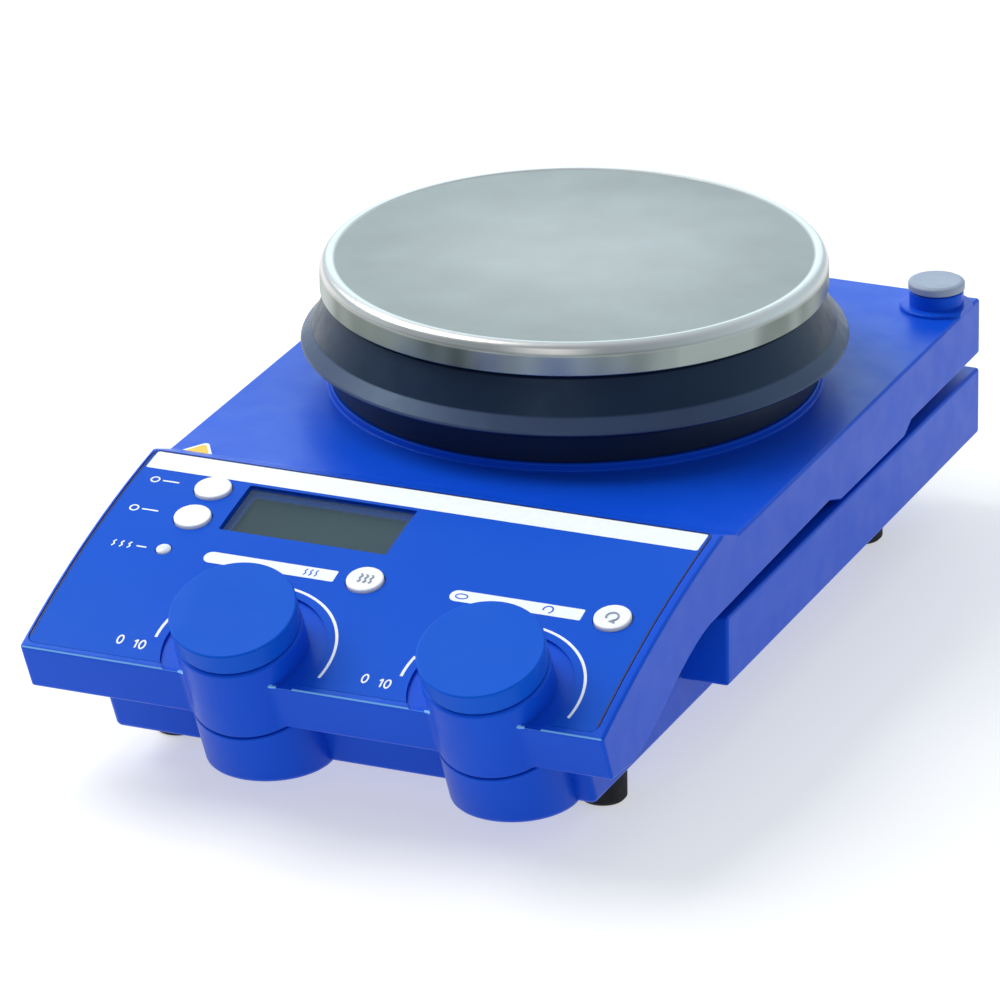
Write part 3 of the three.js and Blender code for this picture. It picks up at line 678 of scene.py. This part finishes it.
def film_plan(margin=0.0):
    xs = (FILM_LOW.x - margin, FILM_HIGH.x + margin)
    ys = (LIP_Y + 2 - margin, RIDGE_Y - 0.6 + margin)
    return rounded_plan(xs, ys, 2.2 + margin)


def film_pocket():
    pocket = above_panel("pocket", LIP_Y, RIDGE_Y, 0.9)
    return combine(pocket, [prism("plan", film_plan(0.3), 10, 100)], "INTERSECT")


def recess(x):
    """Dished hollow round a knob tower that runs out at the lip."""
    floor = [(-150, 90), (-150, 36), (LIP_Y - 1, panel_z(LIP_Y - 1, 0.35)), (LIP_Y, panel_z(LIP_Y, 0.4))]
    floor += arc_points(LIP_Y + 4, RIDGE_Y, 0.95, 30)
    dish = prism("dish", floor + [(RIDGE_Y, 90)], -90, 90, ACROSS_X)
    round_cut = cylinder("round", RECESS_RADIUS, (-40, 10), knob_matrix(x))
    return combine(dish, [round_cut], "INTERSECT")


def lip_fillets(x):
    """Concave fillets where a tower stands out of the lip."""
    lip_b = (LIP_Y - KNOB_Y) * math.cos(TILT) + (panel_z(LIP_Y) - KNOB_Z) * math.sin(TILT)
    radius = 3.4
    across = math.sqrt((TOWER_RADIUS + radius) ** 2 - (lip_b - radius) ** 2)
    pieces = []
    for side in (-1, 1):
        centre = Vector((side * across, lip_b - radius))
        start = math.atan2(-centre.y, -centre.x)
        end = math.pi / 2
        if side < 0:
            start = start if start < end else start - 2 * math.pi
        else:
            end = end if end < start else end - 2 * math.pi
        arc = []
        for k in range(9):
            angle = start + (end - start) * k / 8
            arc.append((centre.x + radius * math.cos(angle), centre.y + radius * math.sin(angle)))
        outline = arc + [(arc[-1][0], lip_b + 2), (side * 8, lip_b + 2)]
        fillet = prism("fillet", outline, -40, -5, knob_matrix(x))
        room = [(-150, LIP_BOTTOM_Z)] + arc_points(-136, -100) + [(-100, LIP_BOTTOM_Z)]
        pieces.append(combine(fillet, [prism("room", room, -90, 90, ACROSS_X)], "INTERSECT"))
    return pieces


def tower(x):
    profile = [(0, TOWER_END), (TOWER_RADIUS, TOWER_END, 0.5), (TOWER_RADIUS, TOWER_TOP, 0.9),
               (13, TOWER_TOP), (0, TOWER_TOP)]
    return lathe("tower", soften(profile, closed=False), knob_matrix(x))


def panel_openings(depth=-9, grow=0.3):
    cuts = []
    for name in BUTTONS:
        x, y = button_spot(name)
        cuts.append(cylinder("cut", 4.9 + grow, (depth, 5), panel_matrix(x, y), 64))
    cuts.append(cylinder("cut", 2.3, (depth, 5), panel_matrix(*LAMP_AT), 48))
    return cuts


BUTTONS = ("mode_button", "unit_button", "heat_button", "stir_button")
WINDOW_X = (WINDOW_LOW.x + WINDOW_HIGH.x) / 2
WINDOW_Y = -68.8
WINDOW_SIZE = (47, 20.6)


def window_cut(depth, shrink=0.0, radius=0.6):
    halves = [size / 2 - shrink for size in WINDOW_SIZE]
    plan = rounded_plan((-halves[0], halves[0]), (-halves[1], halves[1]), radius)
    return prism("window", plan, depth, 5, panel_matrix(WINDOW_X, WINDOW_Y))


def rod_boss():
    low, high = PLUG_LOW, PLUG_HIGH
    at = Matrix.Translation(((low.x + high.x) / 2, (low.y + high.y) / 2, 0))
    boss = soften([(0, EDGE_Z), (7.4, EDGE_Z), (7.4, DECK_Z + 1.1, 0.5), (7.4, 64.3, 0.6), (0, 64.3)],
                  closed=False)
    step = soften([(0, 56), (10, 56), (10, 60.2, 0.7), (0, 60.2)], closed=False)
    pad = lathe("pad", step, at)
    room = prism("room", rounded_plan((40, HALF_WIDTH - 0.05), (60, REAR_Y - 0.05), RIM_RADIUS), 50, 70)
    bore = cylinder("bore", 5, (EDGE_Z - 1, 70), at)
    return [lathe("boss", boss, at), combine(pad, [room], "INTERSECT")], bore


def upper_housing():
    body = prism("upper_housing_shell", housing_outline(), -HALF_WIDTH, HALF_WIDTH, ACROSS_X)
    bevel(body, RIM_RADIUS)
    cavity = prism("cavity", cavity_outline(), WALL - HALF_WIDTH, HALF_WIDTH - WALL, ACROSS_X)
    motor = cylinder("motor", 50, (50, 70), PLATE_AT)
    collar = soften([(58, DECK_Z - 1), (66.6, DECK_Z - 1), (66.6, DECK_Z + 0.01), (65.6, DECK_Z + 0.01, 0.9),
                     (65.6, COLLAR_TOP, 0.5), (58, COLLAR_TOP, 0.3)])
    additions = [lathe("collar", collar, PLATE_AT, 192)]
    bores = []
    for x in KNOB_XS.values():
        additions.append(tower(x))
        additions += lip_fillets(x)
        at = knob_matrix(x)
        bores.append(cylinder("well", 14.4, (-12, 0), at))
        bores.append(cylinder("bore", 3.9, (-31, 0), at, 48))
        bores.append(cylinder("space", 14, (-31, -14.5), at))
    boss, rod_bore = rod_boss()
    cuts = [cavity, motor, film_pocket(), window_cut(-2.4), window_cut(-9, 2)] + panel_openings()
    cuts += [recess(x) for x in KNOB_XS.values()]
    combine(body, cuts)
    combine(body, additions + boss, "UNION")
    combine(body, bores + [rod_bore, cylinder("motor", 50, (50, 70), PLATE_AT)])
    tidy_mesh(body)
    dress(body, LOOKS["blue_coating"], "case", ["upper_housing"])


# ---------------------------------------------------------------------------
# Control panel
# ---------------------------------------------------------------------------
def panel_film():
    sheet = above_panel("film_sheet", LIP_Y, RIDGE_Y, 0.6)
    top = above_panel("top", LIP_Y - 1, RIDGE_Y + 1, 0.15, (-100, 100))
    plan = prism("plan", film_plan(), 10, 100)
    combine(sheet, [plan], "INTERSECT")
    cuts = [top, window_cut(-5)] + panel_openings(-5)
    cuts += [cylinder("cut", RECESS_RADIUS + 0.3, (-40, 10), knob_matrix(x)) for x in KNOB_XS.values()]
    combine(sheet, cuts)
    tidy_mesh(sheet, 0.02)
    dress(sheet, LOOKS["panel_print"], "case", ["panel_film"])


def decal(name, outlines, look, low=0.2, high=0.09, slices=1.0):
    """Thin printed areas that follow the film's arc; outlines are in plan."""
    verts, faces = [], []
    for outline in outlines:
        flat = bmesh.new()
        corners = [flat.verts.new((x, y, 0)) for x, y in outline]
        flat.faces.new(corners)
        ys = [y for _, y in outline]
        count = max(1, int((max(ys) - min(ys)) / slices))
        for k in range(1, count):
            level = min(ys) + (max(ys) - min(ys)) * k / count
            bmesh.ops.bisect_plane(flat, geom=flat.verts[:] + flat.edges[:] + flat.faces[:],
                                   plane_co=(0, level, 0), plane_no=(0, 1, 0), dist=1e-4)
        flat.verts.index_update()
        base = len(verts)
        count = len(flat.verts)
        verts += [(v.co.x, v.co.y, panel_z(v.co.y, high)) for v in flat.verts]
        verts += [(v.co.x, v.co.y, panel_z(v.co.y, low)) for v in flat.verts]
        for face in flat.faces:
            loop = [base + v.index for v in face.verts]
            faces += [loop, [i + count for i in reversed(loop)]]
        for edge in flat.edges:
            if len(edge.link_faces) == 1:
                a, b = (base + v.index for v in edge.verts)
                faces.append([a, b, b + count, a + count])
        flat.free()
    obj = make_object(name, verts, faces)
    dress(obj, look, "case")
    return obj


def band(path, width):
    """Outline of a stroke along a polyline."""
    left, right = [], []
    for i, point in enumerate(path):
        here = Vector(point)
        before = Vector(path[max(i - 1, 0)])
        after = Vector(path[min(i + 1, len(path) - 1)])
        along = (after - before).normalized()
        side = Vector((-along.y, along.x)) * width / 2
        left.append(tuple(here + side))
        right.append(tuple(here - side))
    return left + right[::-1]


def arc_path(centre, radius, start, end, steps=24):
    angles = [math.radians(start + (end - start) * k / steps) for k in range(steps + 1)]
    return [(centre[0] + radius * math.cos(a), centre[1] + radius * math.sin(a)) for a in angles]


def ring_bands(centre, radii, width):
    """A closed oval drawn as two half strokes."""
    halves = []
    for start in (0, 180):
        angles = [math.radians(start + 180 * k / 16) for k in range(17)]
        path = [(centre[0] + radii[0] * math.cos(a), centre[1] + radii[1] * math.sin(a)) for a in angles]
        halves.append(band(path, width))
    return halves


def scale_path(x, start, end, radius=23.9, steps=30):
    """An arc round a knob on the panel's surface, angles as seen along the knob's axis."""
    matrix = knob_matrix(x)
    points = []
    for k in range(steps + 1):
        angle = math.radians(start + (end - start) * k / steps)
        low, high = -40.0, 0.0
        for _ in range(40):
            middle = (low + high) / 2
            spot = matrix @ Vector((radius * math.cos(angle), radius * math.sin(angle), middle))
            if spot.z > panel_z(spot.y):
                high = middle
            else:
                low = middle
        points.append((spot.x, spot.y))
    return points


def digits(text, at, height=2.6, width=0.45):
    """Plain scale numbers made of strokes."""
    strokes = []
    x, y = at
    for letter in text:
        if letter == "0":
            strokes += ring_bands((x + height * 0.3, y), (height * 0.28, height / 2), width)
            x += height * 0.85
        else:
            strokes.append(band([(x, y + height * 0.25), (x + 0.7, y + height / 2)], width))
            strokes.append(band([(x + 0.7, y + height / 2), (x + 0.7, y - height / 2)], width))
            x += height * 0.6
    return strokes


def panel_graphics():
    white = LOOKS["white_print"]
    stripe = rounded_plan((FILM_LOW.x + 1.0, FILM_HIGH.x - 1.0), (-57.6, -49.75), 0.6)
    decal("title_stripe", [stripe], white)
    # Navy lines along the film's sides and rear edge: painted shadow of the pocket's step.
    left, right, rear = FILM_LOW.x + 0.2, FILM_HIGH.x - 0.2, RIDGE_Y - 0.8
    sides = [band([(x, LIP_Y + 4), (x, rear - 2)], 0.4) for x in (left, right)]
    back = soften([(left, rear - 2), (left, rear, 1.9), (right, rear, 1.9), (right, rear - 2)], closed=False)
    decal("film_edge_shadow", sides + [band(back, 0.4)], LOOKS["painted_edge_shade"], slices=4)
    bars = []
    for x0, x1 in ((-46.3, -9.6), (22.0, 58.2)):
        bars.append(soften([(x0, -92.1, 2.0), (x1, -92.1, 0.4), (x1, -87.9, 0.4), (x0, -87.9, 2.0)]))
    decal("label_bars", bars, white)
    arcs = []
    for x in KNOB_XS.values():
        arcs.append(band(scale_path(x, 86, -14), 0.75))
        arcs.append(band(scale_path(x, 164, 182, steps=6), 0.8))
    decal("dial_scales", arcs, white)
    numbers = []
    for x in KNOB_XS.values():
        numbers += digits("0", (x - 33.4, -122.6))
        numbers += digits("10", (x - 28.6, -123.2))
    decal("dial_numbers", numbers, white, slices=5)
    decal("key_marks", key_marks(), white, slices=5)
    decal("bar_marks", bar_marks(), LOOKS["blue_coating"], low=0.2, high=0.05, slices=5)


def key_marks():
    """Small generic signs beside the keys and the lamp."""
    marks = []
    for x, y in ((-70.6, -62.5), (-70.6, -75.5)):
        marks += ring_bands((x - 2.2, y), (1.1, 1.1), 0.45)
        marks.append(band([(x, y), (x + 4.6, y)], 0.5))
    for k in range(3):
        x = -72 + 2.2 * k
        marks.append(band([(x, -91.3), (x + 0.5, -90.5), (x, -89.7), (x + 0.5, -88.9)], 0.45))
    marks.append(band([(-65.4, -90.1), (-62.6, -90.1)], 0.45))
    return marks


def bar_marks():
    """Heat and stirring signs on the white bars."""
    marks = []
    for k in range(3):
        x = -18.2 + 1.5 * k
        marks.append(band([(x, -91.2), (x + 0.4, -90.4), (x, -89.6), (x + 0.4, -88.8)], 0.35))
    marks.append(band(arc_path((48.8, -90), 1.3, 200, -70, 14), 0.4))
    marks += ring_bands((25.2, -90.1), (1.6, 0.9), 0.35)
    return marks


def display():
    plan = rounded_plan((-23.2, 23.2), (-10, 10), 0.5)
    glass = prism("display_glass", plan, -2.1, -1.1, panel_matrix(WINDOW_X, WINDOW_Y))
    bevel(glass, 0.2, segments=2)
    dress(glass, LOOKS["window"], "case", ["display_window"])
    at = panel_matrix(WINDOW_X, WINDOW_Y)
    cell = block("display_cell_plate", (-22, 22), (-9.5, 9.5), (-7.4, -3.4), at)
    bevel(cell, 0.3, segments=2)
    dress(cell, LOOKS["display_cell"], "case", ["display_module"])


def keys():
    profile = [(0, -7.2), (1.8, -7.2, 0.2), (1.8, -4.5), (6.2, -4.5, 0.2), (6.2, -3.4, 0.2),
               (4.9, -3.4), (4.9, 0.75, 0.45), (3.2, 0.62), (0, 0.55)]
    for name in BUTTONS:
        x, y = button_spot(name)
        key = lathe(name + "_cap", soften(profile, closed=False), panel_matrix(x, y), 96)
        body = name[:4] + "_key"
        dress(key, LOOKS["white_button"], body, [name])
    for name, signs in (("heat_button", heat_sign()), ("stir_button", stir_sign())):
        x, y = button_spot(name)
        verts, faces = [], []
        for outline in signs:
            base = len(verts)
            count = len(outline)
            verts += [(a, b, 0.5) for a, b in outline] + [(a, b, 0.72) for a, b in outline]
            faces += [[base + k for k in range(count)][::-1], [base + count + k for k in range(count)]]
            for k in range(count):
                n = (k + 1) % count
                faces.append([base + k, base + n, base + count + n, base + count + k])
        sign = make_object(name + "_sign", verts, faces, panel_matrix(x, y))
        dress(sign, LOOKS["grey_print"], name[:4] + "_key")
    lens = [(0, -5.5), (3.2, -5.5, 0.2), (3.2, -3.6, 0.2), (2, -3.6), (2, 0.1, 0.5),
            (1.2, 0.5, 0.5), (0, 0.6)]
    lamp = lathe("lamp_cap", soften(lens, closed=False), panel_matrix(*LAMP_AT), 64)
    dress(lamp, LOOKS["lamp_lens"], "case", ["heat_lamp_lens"])


def heat_sign():
    signs = []
    for k in range(3):
        x = -1.5 + 1.5 * k
        signs.append(band([(x, -1.6), (x + 0.5, -0.8), (x, 0.1), (x + 0.5, 1.0), (x, 1.7)], 0.5))
    return signs


def stir_sign():
    signs = [band(arc_path((0, 0), 1.6, 210, -60, 18), 0.5)]
    signs.append([(1.5, -2.6), (-0.4, -2.0), (0.9, -0.8)])
    return signs


# ---------------------------------------------------------------------------
# Knobs
# ---------------------------------------------------------------------------
def knobs():
    profile = [(0, 0), (16.5, 0, 0.55), (16.1, -6.7, 0.35), (13.9, -6.7), (13.9, -11.2, 0.3),
               (12.2, -11.2, 0.3), (12.2, -2.5, 0.4), (4.5, -2.5, 0.4), (4.5, -10.2, 0.2), (2.3, -10.2, 0.2),
               (2.3, -3.2), (0, -3.2)]
    for label, x in KNOB_XS.items():
        knob = lathe(label + "_knob_cap", soften(profile[::-1], closed=False), knob_matrix(x), 160)
        dress(knob, LOOKS["blue_knob"], label + "_dial", [label + "_knob"])


# ---------------------------------------------------------------------------
# Lower housing, base tray and feet
# ---------------------------------------------------------------------------
def lower_housing():
    low, high = LOWER_LOW, LOWER_HIGH
    outer = block("lower_housing_skirt", (low.x, high.x), (low.y, high.y), (low.z, high.z))
    bevel(outer, RIM_RADIUS)
    skirt = 2.5
    roof = TRAY_HIGH.z + 0.3
    tray = TRAY_HIGH.x + 0.3
    frame_low, frame_high = box_mm("chassis_frame")
    edge = frame_high.x + 0.4
    inside = high.x - skirt
    combine(outer, [
        block("cut", (-inside, inside), (low.y + skirt, high.y - skirt), (low.z - 1, roof)),
        block("cut", (-edge, edge), (low.y - 1, frame_high.y + 0.4), (roof - 1, high.z + 1)),
        block("cut", (-tray, tray), (low.y - 1, low.y + skirt + 1), (low.z - 1, roof)),
        block("cut", (-60, 60), (high.y - skirt - 1, high.y + 1), (low.z - 1, 34.5)),
    ])
    tidy_mesh(outer)
    dress(outer, LOOKS["blue_coating"], "case", ["lower_housing"])


TRAY_HALF = TRAY_HIGH.x
POD_BOTTOM = TRAY_LOW.z
TRAY_BOTTOM = POD_BOTTOM + 0.7
TRAY_TOP = 36
TRAY_EDGE = 1.8
POD_EDGE = 1.8
TRAY_REAR = TRAY_HIGH.y
FOOT_X = 59.5
FOOT_YS = (-80.8, 102.2)
POST_SPOTS = ((-57, -36), (57, -36), (-57, 84), (57, 84))


def tray_outline(inset):
    lean = math.tan(TILT)

    def front(z):
        return -107 + (17.5 - z) * lean + inset / math.cos(TILT)

    bottom = TRAY_BOTTOM + inset
    if inset > 0:
        rear = TRAY_REAR - inset
        return [(rear, bottom), (rear, 70), (front(70), 70), (front(bottom), bottom)]
    seam_y = KNOB_Y + (-POD_START - (KNOB_Z - TRAY_TOP) * math.cos(TILT)) / math.sin(TILT)
    corner = TRAY_TOP
    for _ in range(12):
        corner = KNOB_Z + ((front(corner) - KNOB_Y) * math.sin(TILT) + POD_START) / math.cos(TILT)
    return [(TRAY_REAR, bottom), (TRAY_REAR, TRAY_TOP), (seam_y, TRAY_TOP), (front(corner), corner),
            (front(bottom), bottom)]


def pod(x, radius, start, floor, edge=0.0):
    outer = lathe("pod", [(0, -62), (radius, -62), (radius, start), (0, start)], knob_matrix(x), 160)
    room = block("room", (-90, 90), (-170, 140), (floor, 70))
    combine(outer, [room], "INTERSECT")
    if edge > 0:
        tidy_mesh(outer)
        bevel(outer, edge, lambda middle, _: middle.z < floor + 0.01, segments=4)
        bevel(outer, 0.5, lambda middle, _: middle.z > floor + 3, segments=3, least_angle=60)
    return outer


def base_tray():
    tub = prism("base_tray_tub", tray_outline(0), -TRAY_HALF, TRAY_HALF, ACROSS_X)

    def outer_edge(middle, _):
        return middle.z < TRAY_BOTTOM + 0.1 or (middle.y < -90 and abs(middle.x) > 60)

    bevel(tub, TRAY_EDGE, outer_edge)
    combine(tub, [pod(x, TOWER_RADIUS, POD_START, POD_BOTTOM, POD_EDGE) for x in KNOB_XS.values()], "UNION")
    inner = [prism("inner", tray_outline(WALL), WALL - TRAY_HALF, TRAY_HALF - WALL, ACROSS_X)]
    inner += [pod(x, TOWER_RADIUS - WALL, -29.8, TRAY_BOTTOM + WALL) for x in KNOB_XS.values()]
    combine(tub, inner)
    floor = TRAY_BOTTOM + WALL
    bosses, holes = [], []
    for x in (-FOOT_X, FOOT_X):
        for y in FOOT_YS:
            near, far = sorted((math.copysign(TRAY_HALF - 15, x), math.copysign(TRAY_HALF - 1, x)))
            bosses.append(block("boss", (near, far), (y - 9, y + 9), (floor - 1, 13.4)))
            holes.append(cylinder("hole", 6.6, (0, 11.6), Matrix.Translation((x, y, 0)), 64))
    for x, y in POST_SPOTS:
        at = Matrix.Translation((x, y, 0))
        bosses.append(cylinder("boss", 5.2, (floor - 1, 13.4), at, 48))
        holes.append(cylinder("hole", 2.1, (0, 20), at, 32))
        holes.append(cylinder("hole", 4, (0, 11.5), at, 48))
    for x in (-44, 44):
        for y in (-82, -2):
            bosses.append(cylinder("boss", 3, (floor - 1, 15.7), Matrix.Translation((x, y, 0)), 32))
    for row in range(7):
        y = 24 + 7 * row
        slot = rounded_plan((-24, 24), (y - 1.5, y + 1.5), 1.49, 4)
        holes.append(prism("slot", slot, 0, floor + 1))
    combine(tub, bosses, "UNION")
    combine(tub, holes + socket_cuts())
    tidy_mesh(tub)
    dress(tub, LOOKS["blue_coating"], "case", ["base_tray"])


SOCKETS = {
    "inlet": (-36, 23.6),
    "rocker": (-9.5, 23.6),
    "fuse": (10, 23.6),
    "serial": (34, 20),
    "sensor": (55, 30),
    "limit": (34, 31.5),
}
FACE_Y = TRAY_REAR + 0.3


def facing_rear(at):
    """Local frame on the rear wall: x to the right seen from behind, y up, z out of the wall."""
    x, z = at
    turn = Matrix(((-1, 0, 0, 0), (0, 0, 1, 0), (0, 1, 0, 0), (0, 0, 0, 1)))
    return Matrix.Translation((x, FACE_Y, z)) @ turn


def socket_cuts():
    cuts = []
    for name, size in (("inlet", (27, 19)), ("rocker", (19.4, 12.4)), ("serial", (19, 10.4))):
        half = [value / 2 + 0.3 for value in size]
        at = facing_rear(SOCKETS[name])
        cuts.append(block("cut", (-half[0], half[0]), (-half[1], half[1]), (-5, 2), at))
    for name, radius in (("fuse", 5.6), ("sensor", 5), ("limit", 2.2)):
        cuts.append(cylinder("cut", radius + 0.3, (-5, 2), facing_rear(SOCKETS[name]), 48))
    return cuts


def feet():
    profile = [(0, 0.6), (3.6, 0.6), (3.9, 0, 0.2), (5.4, 0, 0.3), (6.2, 0.9, 0.5),
               (6.2, 11.2, 0.2), (0, 11.2)]
    names = {-80.8: "front", 102.2: "rear"}
    for y, row in names.items():
        for x, side in ((-FOOT_X, "left"), (FOOT_X, "right")):
            node = f"{row}_{side}_foot"
            foot = lathe(node + "_pad", soften(profile, closed=False), Matrix.Translation((x, y, 0)), 96)
            dress(foot, LOOKS["black_rubber"], "case", [node])


# ---------------------------------------------------------------------------
# Heated plate and its ring
# ---------------------------------------------------------------------------
def plate():
    top = PLATE_HIGH.z
    low = PLATE_LOW.z
    profile = [(0, top - 4.5), (63.3, top - 4.5, 0.5), (63.3, low, 0.3), (67.5, low, 0.4),
               (67.5, top - 3.0, 2.6), (66.6, top - 0.6, 2.2), (64.6, top - 0.02, 1.6),
               (63.7, top - 0.4, 1.0), (62.8, top - 0.4, 0.6),
               (0, top - 0.4)]
    piece = lathe("setup_plate_top", soften(profile, closed=False), PLATE_AT, 192)
    dress(piece, LOOKS["plate_steel"], "case", ["setup_plate"], angle=50)


def ring():
    foot = RING_LOW.z
    profile = [(58.5, foot), (64.9, foot, 0.3), (64.9, 68.8, 1.2), (72.3, 71.4, 0.5), (72.9, 72.1, 0.35),
               (72.6, 72.7, 0.4), (69.7, 76, 1.2), (67.6, 80.8, 6), (65.8, 85, 0.8), (65, 85.6, 0.4),
               (62, 85.9, 0.3),
               (61.3, 85.9, 0.3), (61.3, 80.3), (58.5, 80.3)]
    piece = lathe("plate_ring_cover", soften(profile), PLATE_AT, 192)
    dress(piece, LOOKS["dark_ring"], "case", ["plate_ring"], angle=40)


def rod_plug():
    low, high = PLUG_LOW, PLUG_HIGH
    at = Matrix.Translation(((low.x + high.x) / 2, (low.y + high.y) / 2, 0))
    seat = high.z - 2.4
    profile = [(0, low.z), (4.4, low.z, 0.6), (4.6, seat), (7.7, seat, 0.25), (7.7, high.z - 0.4, 0.7),
               (6.6, high.z, 0.5), (0, high.z - 0.05)]
    plug = lathe("rod_hole_cap", soften(profile, closed=False), at, 96)
    dress(plug, LOOKS["grey_plug"], "rod_plug", ["rod_hole_plug"])


def sticker():
    """Plain yellow sticker on the deck behind the panel's ridge."""
    backing = soften([(-79, -43.5, 1), (-65, -43.5, 1), (-72, -31.4, 1)])
    face = soften([(-77.6, -42.7, 0.8), (-66.4, -42.7, 0.8), (-72, -33, 0.8)])
    for name, outline, low, high, look in (("sticker_backing", backing, -0.05, 0.06, "white_print"),
                                           ("sticker_face", face, 0, 0.1, "yellow_print")):
        piece = prism(name, outline, DECK_Z + low, DECK_Z + high)
        dress(piece, LOOKS[look], "case")


# ---------------------------------------------------------------------------
# CAD nodes that keep their shape
# ---------------------------------------------------------------------------
KEPT_LOOKS = {
    "front_board": "circuit_board",
    "heat_knob_shaft": "steel",
    "speed_knob_shaft": "steel",
    "heat_encoder": "brass",
    "speed_encoder": "brass",
    "heat_knob_seal": "black_rubber",
    "speed_knob_seal": "black_rubber",
    "chassis_frame": "black_plastic",
    "case_screw_1": "steel",
    "case_screw_2": "steel",
    "case_screw_3": "steel",
    "case_screw_4": "steel",
    "heating_element": "copper",
    "insulation_disc": "wool",
    "heat_shield": "steel",
    "plate_post_1": "steel",
    "plate_post_2": "steel",
    "plate_post_3": "steel",
    "plate_sensor": "steel",
    "safety_sensor": "steel",
    "motor_can": "cast_alloy",
    "motor_shaft": "steel",
    "upper_bearing": "steel",
    "lower_bearing": "steel",
    "magnet_holder": "black_plastic",
    "magnet_left": "magnet",
    "magnet_right": "magnet",
    "motor_bracket": "steel",
    "main_board": "circuit_board",
    "transformer": "copper",
    "heater_relay": "black_plastic",
    "heat_sink": "cast_alloy",
    "power_inlet": "black_plastic",
    "rocker_frame": "black_plastic",
    "rocker_switch": "black_plastic",
    "fuse_holder": "black_plastic",
    "fuse_cap": "black_plastic",
    "serial_socket": "steel",
    "sensor_socket": "brass",
    "limit_screw": "brass",
}


def dress_kept_nodes():
    for node, look in KEPT_LOOKS.items():
        obj = frame["nodes"][node]
        obj.data.materials.clear()
        obj.data.materials.append(LOOKS[look])


# ---------------------------------------------------------------------------
# Floor, light and camera
# ---------------------------------------------------------------------------
def studio():
    bpy.context.scene.view_settings.view_transform = "Standard"
    bpy.ops.mesh.primitive_plane_add(size=8)
    floor = bpy.context.object
    floor.name = "floor"
    shader = Shader("floor")
    white = shader.ramp(shader.noise(3, 2), [(0.3, srgb(186, 184, 182)), (0.7, srgb(190, 188, 186))])
    shader.color(white)
    shader.rough(shader.noise(40, 2), 0.7, 0.8)
    shader.set(Emission_Color=(1, 1, 1, 1), Emission_Strength=0.52)
    floor.data.materials.append(shader.material)
    bpy.context.scene.world = sky()
    area_light("key", (-1.25, 0.0, 1.5), 1.3, 34, (1.0, 0.97, 0.93))
    area_light("front", (0.4, -2.0, 1.1), 1.0, 3.2, (1.0, 0.98, 0.95))
    area_light("back", (-0.95, 2.3, 1.05), 1.6, 7.5, (0.72, 0.94, 1.0))


def sky():
    """Studio surround: brighter near the horizon than overhead, darker in front than behind."""
    world = bpy.data.worlds.new("studio")
    world.use_nodes = True
    tree = world.node_tree
    place = tree.nodes.new("ShaderNodeTexCoord")
    split = tree.nodes.new("ShaderNodeSeparateXYZ")
    ramp = tree.nodes.new("ShaderNodeValToRGB")
    depth = tree.nodes.new("ShaderNodeMapRange")
    scale = tree.nodes.new("ShaderNodeVectorMath")
    scale.operation = "SCALE"
    tree.links.new(place.outputs["Generated"], split.inputs["Vector"])
    tree.links.new(split.outputs["Z"], ramp.inputs["Fac"])
    tree.links.new(split.outputs["Y"], depth.inputs["Value"])
    tree.links.new(ramp.outputs["Color"], scale.inputs[0])
    tree.links.new(depth.outputs["Result"], scale.inputs["Scale"])
    tree.links.new(scale.outputs["Vector"], tree.nodes["Background"].inputs["Color"])
    ramp.color_ramp.elements[0].color = (0.56, 0.72, 0.80, 1)
    ramp.color_ramp.elements[1].color = (0.58, 0.66, 0.74, 1)
    for key, value in (("From Min", -0.9), ("From Max", 0.7), ("To Min", 0.4), ("To Max", 1.15)):
        depth.inputs[key].default_value = value
    tree.nodes["Background"].inputs["Strength"].default_value = 1.0
    return world


def area_light(name, place, size, power, color):
    data = bpy.data.lights.new(name, "AREA")
    data.energy = power
    data.size = size
    data.color = color
    lamp = bpy.data.objects.new(name, data)
    bpy.context.scene.collection.objects.link(lamp)
    lamp.location = place
    aim = Vector(place) - Vector((0, 0, 0.05))
    lamp.rotation_euler = aim.to_track_quat("Z", "Y").to_euler()


def camera():
    azimuth, elevation, roll = (math.radians(angle) for angle in (23.347, 22.535, -0.770))
    target = Vector((-0.0035, 0.0016, 0.0403))
    back = Vector((math.sin(azimuth) * math.cos(elevation), -math.cos(azimuth) * math.cos(elevation),
                   math.sin(elevation)))
    data = bpy.data.cameras.new("camera")
    data.lens = 310.03
    data.sensor_width = 36
    data.clip_end = 20
    obj = bpy.data.objects.new("camera", data)
    bpy.context.scene.collection.objects.link(obj)
    obj.location = target + back * 2.264
    obj.rotation_mode = "QUATERNION"
    obj.rotation_quaternion = back.to_track_quat("Z", "Y") @ Matrix.Rotation(roll, 4, "Z").to_quaternion()
    bpy.context.scene.camera = obj


camera()
studio()
upper_housing()
panel_film()
panel_graphics()
display()
keys()
knobs()
lower_housing()
base_tray()
feet()
plate()
ring()
rod_plug()
sticker()
dress_kept_nodes()
